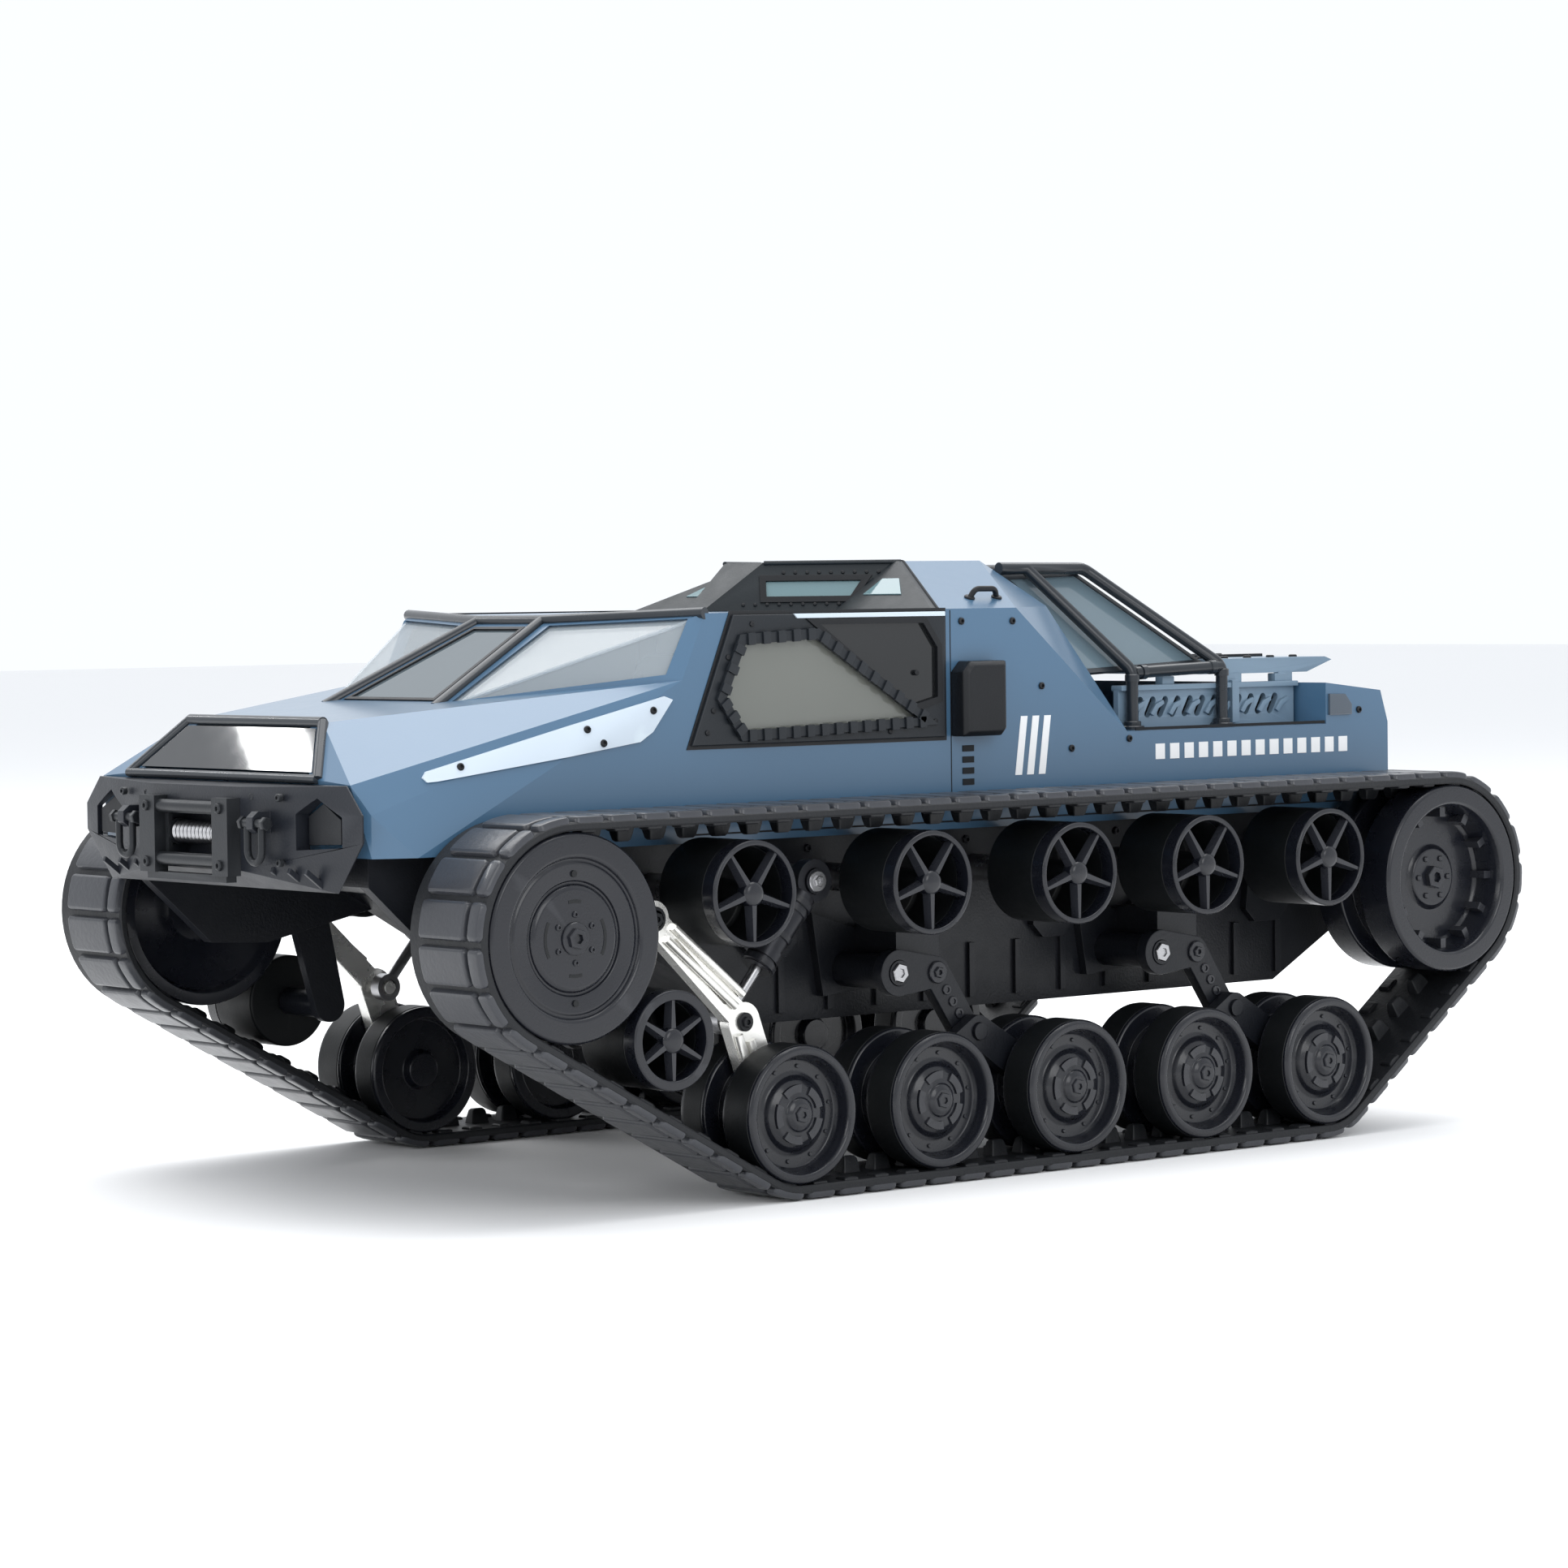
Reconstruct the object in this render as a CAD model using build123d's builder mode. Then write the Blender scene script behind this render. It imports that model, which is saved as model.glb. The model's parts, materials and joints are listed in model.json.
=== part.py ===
from build123d import *
import math
import os
from itertools import combinations

os.makedirs("parts", exist_ok=True)

# A radio-controlled high-speed tracked vehicle at about one twelfth of full size, in millimetres.
# +Z is up, the front faces -Y, +X is the vehicle's left side. The ground is Z = 0.

# ---- driving dimensions -------------------------------------------------------------------
track_outer_x = 103.5       # outer edge of each track and outer face of its wheels
track_width = 32.4
track_inner_x = track_outer_x - track_width
track_mid_x = track_outer_x - track_width / 2
band_thickness = 2.3
pad_height = 1.5
lug_height = 4.4
lug_width = 4.6
link_pitch = 11.0
face_gap = 0.3              # free gap between a wheel and the belt or lug tips it runs on
running_clearance = 0.05

road_wheel_pitch = 51.0
road_wheel_first_y = -80.0
road_wheel_z = 23.0
road_loop_radius = 19.2
front_wheel_yz = (-156.2, 75.0)
front_loop_radius = 28.0
drive_yz = (177.7, 74.9)
drive_loop_radius = 28.7
tension_yz = (-124.1, 46.2)
tension_radius = 13.5
roller_y = [-96.0, -32.5, 23.0, 74.1, 124.8]
roller_z = 83.7
roller_radius = 14.5

groove_inner_x = 83.4       # the centre groove of the big wheels, which the belt lugs run through
groove_outer_x = 91.2
wheel_inner_x = 73.0
roller_inner_x = 79.5
beam_inner_x = 85.3         # arms and beams reach the road wheel axles through the same groove
beam_thickness = 4.0
road_axle_radius = 2.5
roller_axle_radius = 2.5
big_axle_radius = 3.0

arm_pivot_yz = (-119.5, 77.5)
arm_damper_yz = (-89.0, 48.0)
damper_top_yz = (-58.0, 84.5)
damper_x = 80.6
swing_pivot_y = [-29.1, 72.9]
swing_pivot_z = 57.4
swing_reach_y = 25.6
beam_pivot_z = 39.6

hull_half_width = 58.0
hull_wall = 2.5
body_half_width = 70.2
body_bottom_z = 96.0
belt_line_z = 122.0
roof_z = 159.0
roof_top_z = 173.0
shoulder_top_x = 33.0       # the hipped shoulder narrows to this at its top
shoulder_top_y = (19.0, 49.0)
cage_top_x = 36.0
sides = {"left": 1, "right": -1}


# ---- helpers ------------------------------------------------------------------------------
def write(part, node, side=1):
    """Label a finished piece, mirrored for the right side, and write it as one STEP file."""
    piece = part if side > 0 else mirror(part, about=Plane.YZ)
    piece.label = node
    export_step(piece, f"parts/{node}.step")


def both(points):
    """The same points on the left and on the right."""
    return [(s * x, y, z) for x, y, z in points for s in (1, -1)]


def convex_faces(points):
    """The flat faces of the convex solid round some points, each an ordered list of corners."""
    vectors = [Vector(*p) for p in sorted(set(points))]
    planes = []
    for a, b, c in combinations(vectors, 3):
        normal = (b - a).cross(c - a)
        if normal.length < 1e-6:
            continue
        normal = normal.normalized()
        heights = [(v - a).dot(normal) for v in vectors]
        if max(heights) > 1e-4 and min(heights) < -1e-4:
            continue
        if max(heights) > 1e-4:
            normal = normal * -1
        if any((normal - n).length < 1e-4 for n, _ in planes):
            continue
        planes.append((normal, [v for v, h in zip(vectors, heights) if abs(h) <= 1e-4]))
    return [convex_rim(normal, rim) for normal, rim in planes]


def convex_rim(normal, rim):
    """The outermost of some points on one plane, in order round it."""
    across = (rim[1] - rim[0]).normalized()
    along = normal.cross(across)
    flat = sorted((v.dot(across), v.dot(along), i) for i, v in enumerate(rim))
    order = []
    for run in (flat, flat[::-1]):
        chain = []
        for p in run:
            while len(chain) > 1 and not turns_left(chain[-2], chain[-1], p):
                chain.pop()
            chain.append(p)
        order += chain[:-1]
    return [rim[p[2]] for p in order]


def turns_left(a, b, c):
    """Whether the way from a through b to c turns left by more than a hair."""
    return (b[0] - a[0]) * (c[1] - a[1]) - (b[1] - a[1]) * (c[0] - a[0]) > 1e-3


def convex_solid(points):
    """The convex solid round some points, its faces built as fans of triangles."""
    fans = [
        Face(Wire.make_polygon([rim[0], rim[i], rim[i + 1]], close=True))
        for rim in convex_faces(points)
        for i in range(1, len(rim) - 1)
    ]
    return Solid(Shell(fans)).clean()



def plate(outline, thickness, lift=0.0):
    """A flat plate on an outline of points, its thickness to the inner side, away from +X, +Z or -Y."""
    a, b, c = (Vector(*p) for p in outline[:3])
    normal = (b - a).cross(c - a).normalized()
    outward = Vector(sum(p[0] for p in outline) / len(outline), -40, 60)
    if normal.dot(outward) < 0:
        normal = normal * -1
    top = [Vector(*p) + normal * lift for p in outline]
    low = [p - normal * thickness for p in top]
    return convex_solid([tuple(p) for p in top + low])


def shrunk(outline, margin):
    """An outline drawn in towards its middle by a margin at each corner."""
    middle = sum((Vector(*p) for p in outline), Vector(0, 0, 0)) / len(outline)
    moved = [Vector(*p) + (middle - Vector(*p)).normalized() * margin for p in outline]
    return [tuple(p) for p in moved]


def turned(yz, outline):
    """A solid turned from an outline of (x, radius) points about the axle at yz."""
    y, z = yz
    with BuildPart() as piece:
        with BuildSketch(Plane(origin=(0, y, z), x_dir=(1, 0, 0), z_dir=(0, -1, 0))):
            with BuildLine():
                Polyline(*outline, close=True)
            make_face()
        revolve(axis=Axis((0, y, z), (1, 0, 0)))
    return piece.part


def side_plane(x, yz=(0.0, 0.0)):
    """The plane at x that faces +X, with local x along +Y and local y along +Z."""
    return Plane(origin=(x, yz[0], yz[1]), x_dir=(0, 1, 0), z_dir=(1, 0, 0))


def round_bar(yz, radius, x_from, x_to):
    """A cylinder along X."""
    with BuildPart() as bar:
        with BuildSketch(side_plane(x_from, yz)):
            Circle(radius)
        extrude(amount=x_to - x_from)
    return bar.part


def link_plate(stations, x_from, x_to):
    """A flat link with a round eye of its own radius at each (y, z, radius)."""
    with BuildPart() as link:
        with BuildSketch(side_plane(x_from)):
            for y, z, radius in stations:
                with Locations((y, z)):
                    Circle(radius)
            make_hull()
        extrude(amount=x_to - x_from)
    return link.part


def side_prism(outline, x_from, x_to):
    """A (y, z) outline extruded along X."""
    with BuildPart() as prism:
        with BuildSketch(side_plane(x_from)):
            with BuildLine():
                Polyline(*outline, close=True)
            make_face()
        extrude(amount=x_to - x_from)
    return prism.part


# ---- tracks -------------------------------------------------------------------------------
loop_wheels = [
    (*front_wheel_yz, front_loop_radius),
    (*drive_yz, drive_loop_radius),
    (road_wheel_first_y, road_wheel_z, road_loop_radius),
    (road_wheel_first_y + 4 * road_wheel_pitch, road_wheel_z, road_loop_radius),
]


def loop_face(offset):
    """The area inside the belt loop, grown by an offset from the belt's inner surface."""
    with BuildSketch(mode=Mode.PRIVATE) as area:
        for y, z, radius in loop_wheels:
            with Locations((y, z)):
                Circle(radius + offset)
        make_hull()
    return area.face()


inner_loop = loop_face(0).outer_wire()
outer_loop = loop_face(band_thickness).outer_wire()
link_count = round(inner_loop.length / link_pitch)


def link_tiles(loop, length, height, top_share):
    """One tile on each link, as high as told outwards (or inwards when negative) from a loop."""
    for i in range(link_count):
        root = loop.position_at(i / link_count)
        along = loop.tangent_at(i / link_count)
        out = along.cross(Vector(0, 0, 1))
        if out.dot(root - Vector(10, 55, 0)) < 0:
            out = out * -1
        low = root - out * math.copysign(0.5, height)
        top = root + out * height
        half = along * (length / 2)
        rim = [low - half, low + half, top + half * top_share, top - half * top_share]
        add(Face(Wire.make_polygon(rim, close=True)))


# A rubber belt: a band with one row of centre lugs inside and two rows of tread pads outside.
# Both belts carry their pads in the same order from -X to +X.
pad_spans = [(5.5, 26.0), (27.0, track_width)]
with BuildPart() as track_belt:
    with BuildSketch(side_plane(track_inner_x)):
        add(loop_face(band_thickness))
        add(loop_face(0), mode=Mode.SUBTRACT)
    extrude(amount=track_width)
    with BuildSketch(side_plane(track_mid_x - lug_width / 2)):
        link_tiles(inner_loop, 6.4, -lug_height, 0.6)
    extrude(amount=lug_width)
    for start, end in pad_spans:
        with BuildSketch(side_plane(track_inner_x + start)):
            link_tiles(outer_loop, link_pitch - 1.2, pad_height, 0.94)
        extrude(amount=end - start)
    split(bisect_by=Plane.XY, keep=Keep.TOP)
write(track_belt.part, "track_belt_left")
write(track_belt.part.moved(Location((-2 * track_mid_x, 0, 0))), "track_belt_right")


# ---- wheels -------------------------------------------------------------------------------
out_x = track_outer_x


def road_wheel(yz):
    """A pair of wheel discs on one axle, with the groove for the lugs and the beam between them."""
    r = road_loop_radius - face_gap
    return turned(yz, [
            (out_x - 0.4, 0), (out_x - 0.4, 4.2), (out_x - 1.4, 4.6), (out_x - 1.4, 8.2),
            (out_x - 4.0, 8.8), (out_x - 4.0, 15.2), (out_x, 16.2), (out_x, r - 0.6),
            (out_x - 0.6, r), (groove_outer_x + 0.5, r), (groove_outer_x, r - 0.5),
            (groove_outer_x, road_axle_radius), (groove_inner_x, road_axle_radius),
            (groove_inner_x, r - 0.5), (groove_inner_x - 0.5, r), (wheel_inner_x + 0.5, r),
            (wheel_inner_x, r - 0.5), (wheel_inner_x, 15.6), (wheel_inner_x + 3.5, 15.0),
            (wheel_inner_x + 3.5, 6.0), (wheel_inner_x + 1.0, 5.0), (wheel_inner_x + 1.0, 0),
    ])


def big_wheel(yz, r, dish_radius, dish_depth, boss_radius, boss_height, shaft_to=None):
    """A wide wheel with a lug groove, a dished outer face and a boss, and a bore or its own shaft."""
    groove_r = r - lug_height - 0.9
    floor_x = out_x - dish_depth
    inner = [(wheel_inner_x, r - 0.5), (wheel_inner_x, 11.0), (wheel_inner_x + 6.0, 10.0)]
    if shaft_to is None:
        bore = big_axle_radius + running_clearance
        inner += [(wheel_inner_x + 6.0, 7.0), (wheel_inner_x, 6.5), (wheel_inner_x, bore)]
        inner += [(out_x - 6.0, bore), (out_x - 6.0, 0)]
    else:
        inner += [(wheel_inner_x + 6.0, big_axle_radius), (shaft_to, big_axle_radius), (shaft_to, 0)]
    return turned(yz, [
            (floor_x + boss_height, 0), (floor_x + boss_height, boss_radius - 0.6),
            (floor_x + boss_height - 0.6, boss_radius), (floor_x, boss_radius + 0.3),
            (floor_x, dish_radius - 0.4), (out_x, dish_radius), (out_x, r - 0.8), (out_x - 0.8, r),
            (groove_outer_x + 0.5, r), (groove_outer_x, r - 0.5), (groove_outer_x, groove_r),
            (groove_inner_x, groove_r), (groove_inner_x, r - 0.5), (groove_inner_x - 0.5, r),
            (wheel_inner_x + 0.5, r), *inner,
    ])


def spoked_wheel(yz, r, rim, hub_radius, spoke_count, spoke_width):
    """A drum with an open spoked face, turning on a fixed axle that enters from the inner side."""
    y, z = yz
    bore = roller_axle_radius + running_clearance
    with BuildPart() as wheel:
        add(turned(yz, [
            (roller_inner_x, bore), (roller_inner_x, r - 0.5), (roller_inner_x + 0.5, r),
            (out_x - 0.4, r), (out_x, r - 0.4), (out_x, r - rim), (roller_inner_x + 2.5, r - rim),
            (roller_inner_x + 2.5, hub_radius), (out_x - 0.6, hub_radius), (out_x, hub_radius - 0.8),
            (out_x, 0), (out_x - 5.0, 0), (out_x - 5.0, bore),
        ]))
        down = Plane(origin=(out_x - 2.8, y, z), x_dir=(0, 0, -1), z_dir=(1, 0, 0))
        with BuildSketch(down):
            with PolarLocations((r - rim + hub_radius) / 2, spoke_count):
                Rectangle(r - rim - hub_radius + 0.8, spoke_width)
        extrude(amount=2.2)
    return wheel.part


front_wheel = big_wheel(front_wheel_yz, front_loop_radius - face_gap, 20.2, 1.3, 13.6, 0.9)
drive_sprocket = big_wheel(drive_yz, drive_loop_radius - face_gap, 22.6, 9.8, 5.6, 3.4, shaft_to=45.0)
tension_wheel = spoked_wheel(tension_yz, tension_radius, 2.8, 3.6, 6, 2.2)
road_wheels = [road_wheel((road_wheel_first_y + i * road_wheel_pitch, road_wheel_z)) for i in range(5)]
return_rollers = [spoked_wheel((y, roller_z), roller_radius, 1.5, 3.4, 5, 1.8) for y in roller_y]
for side_name, side in sides.items():
    write(front_wheel, f"front_wheel_{side_name}", side)
    write(drive_sprocket, f"drive_sprocket_{side_name}", side)
    write(tension_wheel, f"tension_wheel_{side_name}", side)
    for i in range(5):
        write(road_wheels[i], f"road_wheel_{side_name}_{i + 1}", side)
        write(return_rollers[i], f"return_roller_{side_name}_{i + 1}", side)


# ---- suspension ---------------------------------------------------------------------------
beam_outer_x = beam_inner_x + beam_thickness
swing_inner_x = 80.7
swing_outer_x = 84.6
eye = road_axle_radius + running_clearance
first_axle = (road_wheel_first_y, road_wheel_z)

with BuildPart() as front_arm:
    add(link_plate([(*arm_pivot_yz, 3.6), (*arm_damper_yz, 3.6)], beam_inner_x, beam_outer_x))
    add(link_plate([(*arm_damper_yz, 5.4), (*first_axle, 5.4)], beam_inner_x, beam_outer_x))
    add(link_plate([(*arm_pivot_yz, 5.0)], beam_inner_x, beam_outer_x))
    for hole in (arm_pivot_yz, first_axle):
        add(round_bar(hole, eye, beam_inner_x, beam_outer_x), mode=Mode.SUBTRACT)
    add(round_bar(arm_damper_yz, 2.0, damper_x - 2.6, beam_inner_x))
    with BuildSketch(side_plane(beam_outer_x)):
        with Locations((-104.0, 62.6)):
            SlotOverall(26, 2.2, rotation=-44)
    extrude(amount=-1.4, mode=Mode.SUBTRACT)


def swing_arm(pivot_y):
    """A cranked arm from its ring pivot to the pin that the walking beam rocks on."""
    elbow = (pivot_y + 14.0, swing_pivot_z - 0.6, 4.6)
    foot = (pivot_y + swing_reach_y, beam_pivot_z)
    with BuildPart() as arm:
        add(link_plate([(pivot_y, swing_pivot_z, 6.6), elbow], swing_inner_x, swing_outer_x))
        add(link_plate([elbow, (*foot, 4.4)], swing_inner_x, swing_outer_x))
        add(round_bar((pivot_y, swing_pivot_z), 3.6, swing_inner_x, swing_outer_x), mode=Mode.SUBTRACT)
        add(round_bar(foot, road_axle_radius, swing_outer_x, beam_outer_x + 1.0))
    return arm.part


def walking_beam(pivot_y):
    """A rocking beam that carries two road wheel axles."""
    foot_y = pivot_y + swing_reach_y
    reach = road_wheel_pitch / 2
    ends = [(foot_y - reach, road_wheel_z, 5.4), (foot_y + reach, road_wheel_z, 5.4)]
    top = (foot_y, beam_pivot_z, 4.6)
    with BuildPart() as beam:
        for end in ends:
            add(link_plate([end, top], beam_inner_x, beam_outer_x))
            add(round_bar(end[:2], eye, beam_inner_x, beam_outer_x), mode=Mode.SUBTRACT)
        add(round_bar(top[:2], eye, beam_inner_x, beam_outer_x), mode=Mode.SUBTRACT)
    return beam.part


run_y = arm_damper_yz[0] - damper_top_yz[0]
run_z = arm_damper_yz[1] - damper_top_yz[1]
damper_length = math.hypot(run_y, run_z)
damper_down = Plane(
    origin=(damper_x, *damper_top_yz),
    x_dir=(1, 0, 0),
    z_dir=(0, run_y / damper_length, run_z / damper_length),
)
tube_start, tube_end = 5.0, 30.0
rod_radius = 1.6

with BuildPart() as damper_body:
    add(link_plate([(*damper_top_yz, 6.0)], damper_x - 2.2, damper_x + 2.2))
    with BuildSketch(damper_down.offset(tube_start)):
        Circle(4.2)
    extrude(amount=tube_end - tube_start)
    with BuildSketch(damper_down.offset(tube_end - 6)):
        Circle(4.7)
    extrude(amount=3)
    add(round_bar(damper_top_yz, 3.6, damper_x - 2.2, damper_x + 2.2), mode=Mode.SUBTRACT)
    with BuildSketch(damper_down.offset(tube_start + 6)):
        Circle(rod_radius + running_clearance)
    extrude(amount=tube_end, mode=Mode.SUBTRACT)

with BuildPart() as damper_rod:
    with BuildSketch(damper_down.offset(tube_start + 14)):
        Circle(rod_radius)
    extrude(amount=damper_length - tube_start - 14)
    add(link_plate([(*arm_damper_yz, 4.0)], damper_x - 2.0, damper_x + 2.0))
    add(round_bar(arm_damper_yz, 2.5, damper_x - 3.0, damper_x + 3.0), mode=Mode.SUBTRACT)

for side_name, side in sides.items():
    write(front_arm.part, f"front_arm_{side_name}", side)
    write(damper_body.part, f"damper_body_{side_name}", side)
    write(damper_rod.part, f"damper_rod_{side_name}", side)
    for place, pivot_y in zip(("mid", "rear"), swing_pivot_y):
        write(swing_arm(pivot_y), f"swing_arm_{side_name}_{place}", side)
        write(walking_beam(pivot_y), f"bogie_beam_{side_name}_{place}", side)


# ---- hull ---------------------------------------------------------------------------------
hull_outline = [
    (-190, 96), (-190, 88), (-121, 79), (-92, 62), (-58, 43.5), (146, 43.5), (187, 66), (187, 96),
]
cheek_outline = [(-190, 96), (-190, 88), (-167, 67), (-148, 66), (-112, 73.5), (-92, 80), (-92, 96)]
cavity_outline = [
    (-187, 97), (-187, 90.5), (-120, 81.5), (-90.5, 64.4), (-57.4, 46), (145, 46), (184.5, 67.6), (184.5, 97),
]


cheek_x = hull_half_width - 4.0
with BuildPart() as hull_tub:
    add(side_prism(hull_outline, -hull_half_width, hull_half_width))
    for low_x, high_x in ((cheek_x, hull_half_width), (-hull_half_width, -cheek_x)):
        add(side_prism(cheek_outline, low_x, high_x))
    cavity_half_width = hull_half_width - hull_wall
    add(side_prism(cavity_outline, -cavity_half_width, cavity_half_width), mode=Mode.SUBTRACT)
    shaft_hole = big_axle_radius + running_clearance
    add(round_bar(drive_yz, shaft_hole, -hull_half_width - 1, hull_half_width + 1), mode=Mode.SUBTRACT)
write(hull_tub.part, "hull_tub")

with BuildPart() as axle_stubs:
    for inner_x, outer_x in ((hull_half_width, 1), (-hull_half_width, -1)):
        for y in roller_y:
            add(round_bar((y, roller_z), roller_axle_radius, inner_x, outer_x * (out_x - 5.3)))
            add(round_bar((y, roller_z), 4.0, inner_x, outer_x * (roller_inner_x - 0.6)))
        add(round_bar(front_wheel_yz, big_axle_radius, inner_x, outer_x * (out_x - 6.3)))
        add(round_bar(front_wheel_yz, 5.6, inner_x, outer_x * (wheel_inner_x - 0.6)))
write(axle_stubs.part, "axle_stubs")

bracket_x = hull_half_width + 3.0
with BuildPart() as left_brackets:
    add(link_plate([(*tension_yz, 5.0), (-131, 74, 6.0)], hull_half_width, bracket_x))
    add(round_bar(tension_yz, roller_axle_radius, bracket_x, out_x - 5.3))
    add(round_bar(tension_yz, 4.0, bracket_x, roller_inner_x - 0.6))
    add(round_bar(arm_pivot_yz, 4.6, hull_half_width, beam_inner_x - 0.4))
    add(round_bar(arm_pivot_yz, road_axle_radius, beam_inner_x - 0.4, beam_outer_x + 1.0))
    add(round_bar(damper_top_yz, 4.6, hull_half_width, damper_x - 2.6))
    add(round_bar(damper_top_yz, 3.5, damper_x - 2.6, damper_x + 3.0))
    for pivot_y in swing_pivot_y:
        add(side_prism(
            [
                (pivot_y - 12, 74), (pivot_y + 6, 68), (pivot_y + 22, 76), (pivot_y + 36, 64),
                (pivot_y + 40, 48), (pivot_y + 14, 52), (pivot_y - 8, 50),
            ],
            hull_half_width,
            bracket_x,
        ))
        with BuildSketch(side_plane(bracket_x, (pivot_y + 12, 63))):
            Rectangle(16, 14)
        extrude(amount=swing_inner_x - bracket_x - 2.0)
        add(round_bar((pivot_y, swing_pivot_z), 5.0, bracket_x, swing_inner_x - 0.4))
        pin_radius = 3.6 - running_clearance
        add(round_bar((pivot_y, swing_pivot_z), pin_radius, swing_inner_x - 0.4, swing_outer_x + 0.2))
with BuildPart() as suspension_brackets:
    add(left_brackets.part)
    add(mirror(left_brackets.part, about=Plane.YZ))
write(suspension_brackets.part, "suspension_brackets")

with BuildPart() as gear_motors:
    for side in (1, -1):
        with BuildSketch(side_plane(side * 37.0, (170, 80))):
            RectangleRounded(24, 22, 4)
        extrude(amount=side * 17.5)
        add(round_bar((148, 66), 13.0, side * 4.0, side * 37.0))
        with BuildSketch(side_plane(side * 37.0, (152, 71))):
            RectangleRounded(24, 20, 4)
        extrude(amount=side * 17.5)
        add(round_bar(drive_yz, shaft_hole, side * 43.5, side * 60.0), mode=Mode.SUBTRACT)
write(gear_motors.part, "gear_motors")

with BuildPart() as battery_pack:
    with BuildSketch(Plane.XY.offset(46.5)):
        with Locations((0, 20)):
            RectangleRounded(46, 138, 5)
    extrude(amount=26)
    fillet(battery_pack.faces().sort_by(Axis.Z)[-1].edges(), 1.5)
write(battery_pack.part, "battery_pack")

with BuildPart() as control_board:
    with BuildSketch(Plane.XY.offset(76)):
        with Locations((0, 10)):
            RectangleRounded(60, 84, 3)
    extrude(amount=2)
    with BuildSketch(Plane.XY.offset(78)):
        with Locations((-14, 28), (15, 22), (6, -12)):
            Rectangle(18, 24)
    extrude(amount=8)
write(control_board.part, "control_board")


# ---- body ---------------------------------------------------------------------------------
half = body_half_width
cowl = (26.6, -145.7, 133.8)            # lower end of the windscreen pillar
header = (15.1, -100.1, 157.0)          # upper end of the windscreen pillar
door_post_top = (half, -85.6, 158.8)
door_post_window = (half, -93.8, 140.6)
door_post_foot = (half, -100.3, 120.9)
nose_corner = (61.0, -197.3, 115.3)
nose_crease = (62.0, -195.9, 111.7)
nose_tip = (65.0, -193.6, 107.4)
nose_notch = (65.0, -193.6, 100.0)
hood_low = (46.5, -197.7, 116.4)
hood_high = (32.6, -186.3, 131.0)
skirt_front = (half, -182.5, body_bottom_z)
roof_seam_y = 0.0
shoulder_rear_y = 29.6
tail_y = 185.0

front_block = both([
    nose_corner, nose_crease, nose_tip, nose_notch, (65.0, -193.6, body_bottom_z), hood_low, hood_high,
    cowl, door_post_window, door_post_foot, skirt_front, (half, -93.8, body_bottom_z),
])
cabin_block = both([
    cowl, header, door_post_top, door_post_window, (half, -93.8, body_bottom_z),
    (half, shoulder_rear_y, roof_z), (half, shoulder_rear_y, body_bottom_z),
])
shoulder_block = both([
    (half, roof_seam_y, roof_z), (half, shoulder_rear_y, roof_z), (half, roof_seam_y, belt_line_z),
    (shoulder_top_x, shoulder_top_y[0], roof_top_z), (shoulder_top_x, shoulder_top_y[1], roof_top_z),
    (52.0, 58.2, 159.3), (64.0, 64.1, 138.8), (half, 73.5, belt_line_z), (half, 42.5, 134.5),
    (half, 53.6, belt_line_z),
])
bed_block = both([
    (half, y, z) for y in (shoulder_rear_y, tail_y) for z in (body_bottom_z, belt_line_z)
])
tail_block = both([
    (half, 157.6, belt_line_z), (half, 157.6, 134.6), (half, 181.8, 131.8), (half, tail_y, belt_line_z),
])


def cavity(points, centre):
    """The room inside a convex block: its corners drawn in by the wall, and open below."""
    wall = 2.0
    room = []
    for point in points:
        moved = [c + math.copysign(min(wall, abs(m - c)), m - c) for c, m in zip(point, centre)]
        if point[2] <= body_bottom_z:
            moved[2] = point[2] - 1.0
        room.append(tuple(moved))
    return convex_solid(room)


windscreen = [(-cowl[0], *cowl[1:]), cowl, header, (-header[0], *header[1:])]
side_screen = [cowl, door_post_window, door_post_top, header]
hood_window = [(-hood_low[0], *hood_low[1:]), hood_low, hood_high, (-hood_high[0], *hood_high[1:])]


def mirrored(outline):
    """An outline of points on the other side of the vehicle."""
    return [(-x, y, z) for x, y, z in outline]


def through(outline, margin):
    """A cutter through the shell inside an outline."""
    return plate(shrunk(outline, margin), 7.0, lift=3.0)


screens = [windscreen, side_screen, mirrored(side_screen), hood_window]
door_hole = [(-86, 125), (-75, 156.5), (-1, 156.5), (-1, 125)]
with BuildPart() as body_shell:
    add(convex_solid(front_block))
    add(convex_solid(cabin_block))
    add(convex_solid(shoulder_block))
    add(convex_solid(bed_block))
    add(convex_solid(tail_block))
    add(cavity(front_block, (0, -140, 90)), mode=Mode.SUBTRACT)
    add(cavity(cabin_block, (0, -30, 90)), mode=Mode.SUBTRACT)
    add(cavity(shoulder_block, (0, 20, 120)), mode=Mode.SUBTRACT)
    add(cavity(bed_block, (0, 100, 90)), mode=Mode.SUBTRACT)
    add(cavity(tail_block, (0, 170, 120)), mode=Mode.SUBTRACT)
    for screen in screens:
        add(through(screen, 5.0), mode=Mode.SUBTRACT)
    add(side_prism(door_hole, -80, 80), mode=Mode.SUBTRACT)
write(body_shell.part, "body_shell")

door_outline = [(-91.4, 122.5), (-76.4, 158.2), (1.0, 158.2), (1.0, 122.5)]
front_door_window = [(-80.4, 135.4), (-73.3, 150.5), (-47.2, 151.7), (-8.8, 127.9), (-73.3, 125.8)]
rear_door_window = [(-47.2, 155.7), (-7.3, 155.7), (-1.8, 148.3), (-1.8, 133.6), (-11.7, 131.3)]
door_thickness = 1.2
with BuildPart() as left_door:
    add(side_prism(door_outline, half, half + door_thickness))
    for window in (front_door_window, rear_door_window):
        add(side_prism(window, half - 1, half + 2), mode=Mode.SUBTRACT)
with BuildPart() as door_panels:
    add(left_door.part)
    add(mirror(left_door.part, about=Plane.YZ))
write(door_panels.part, "door_panels")

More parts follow.
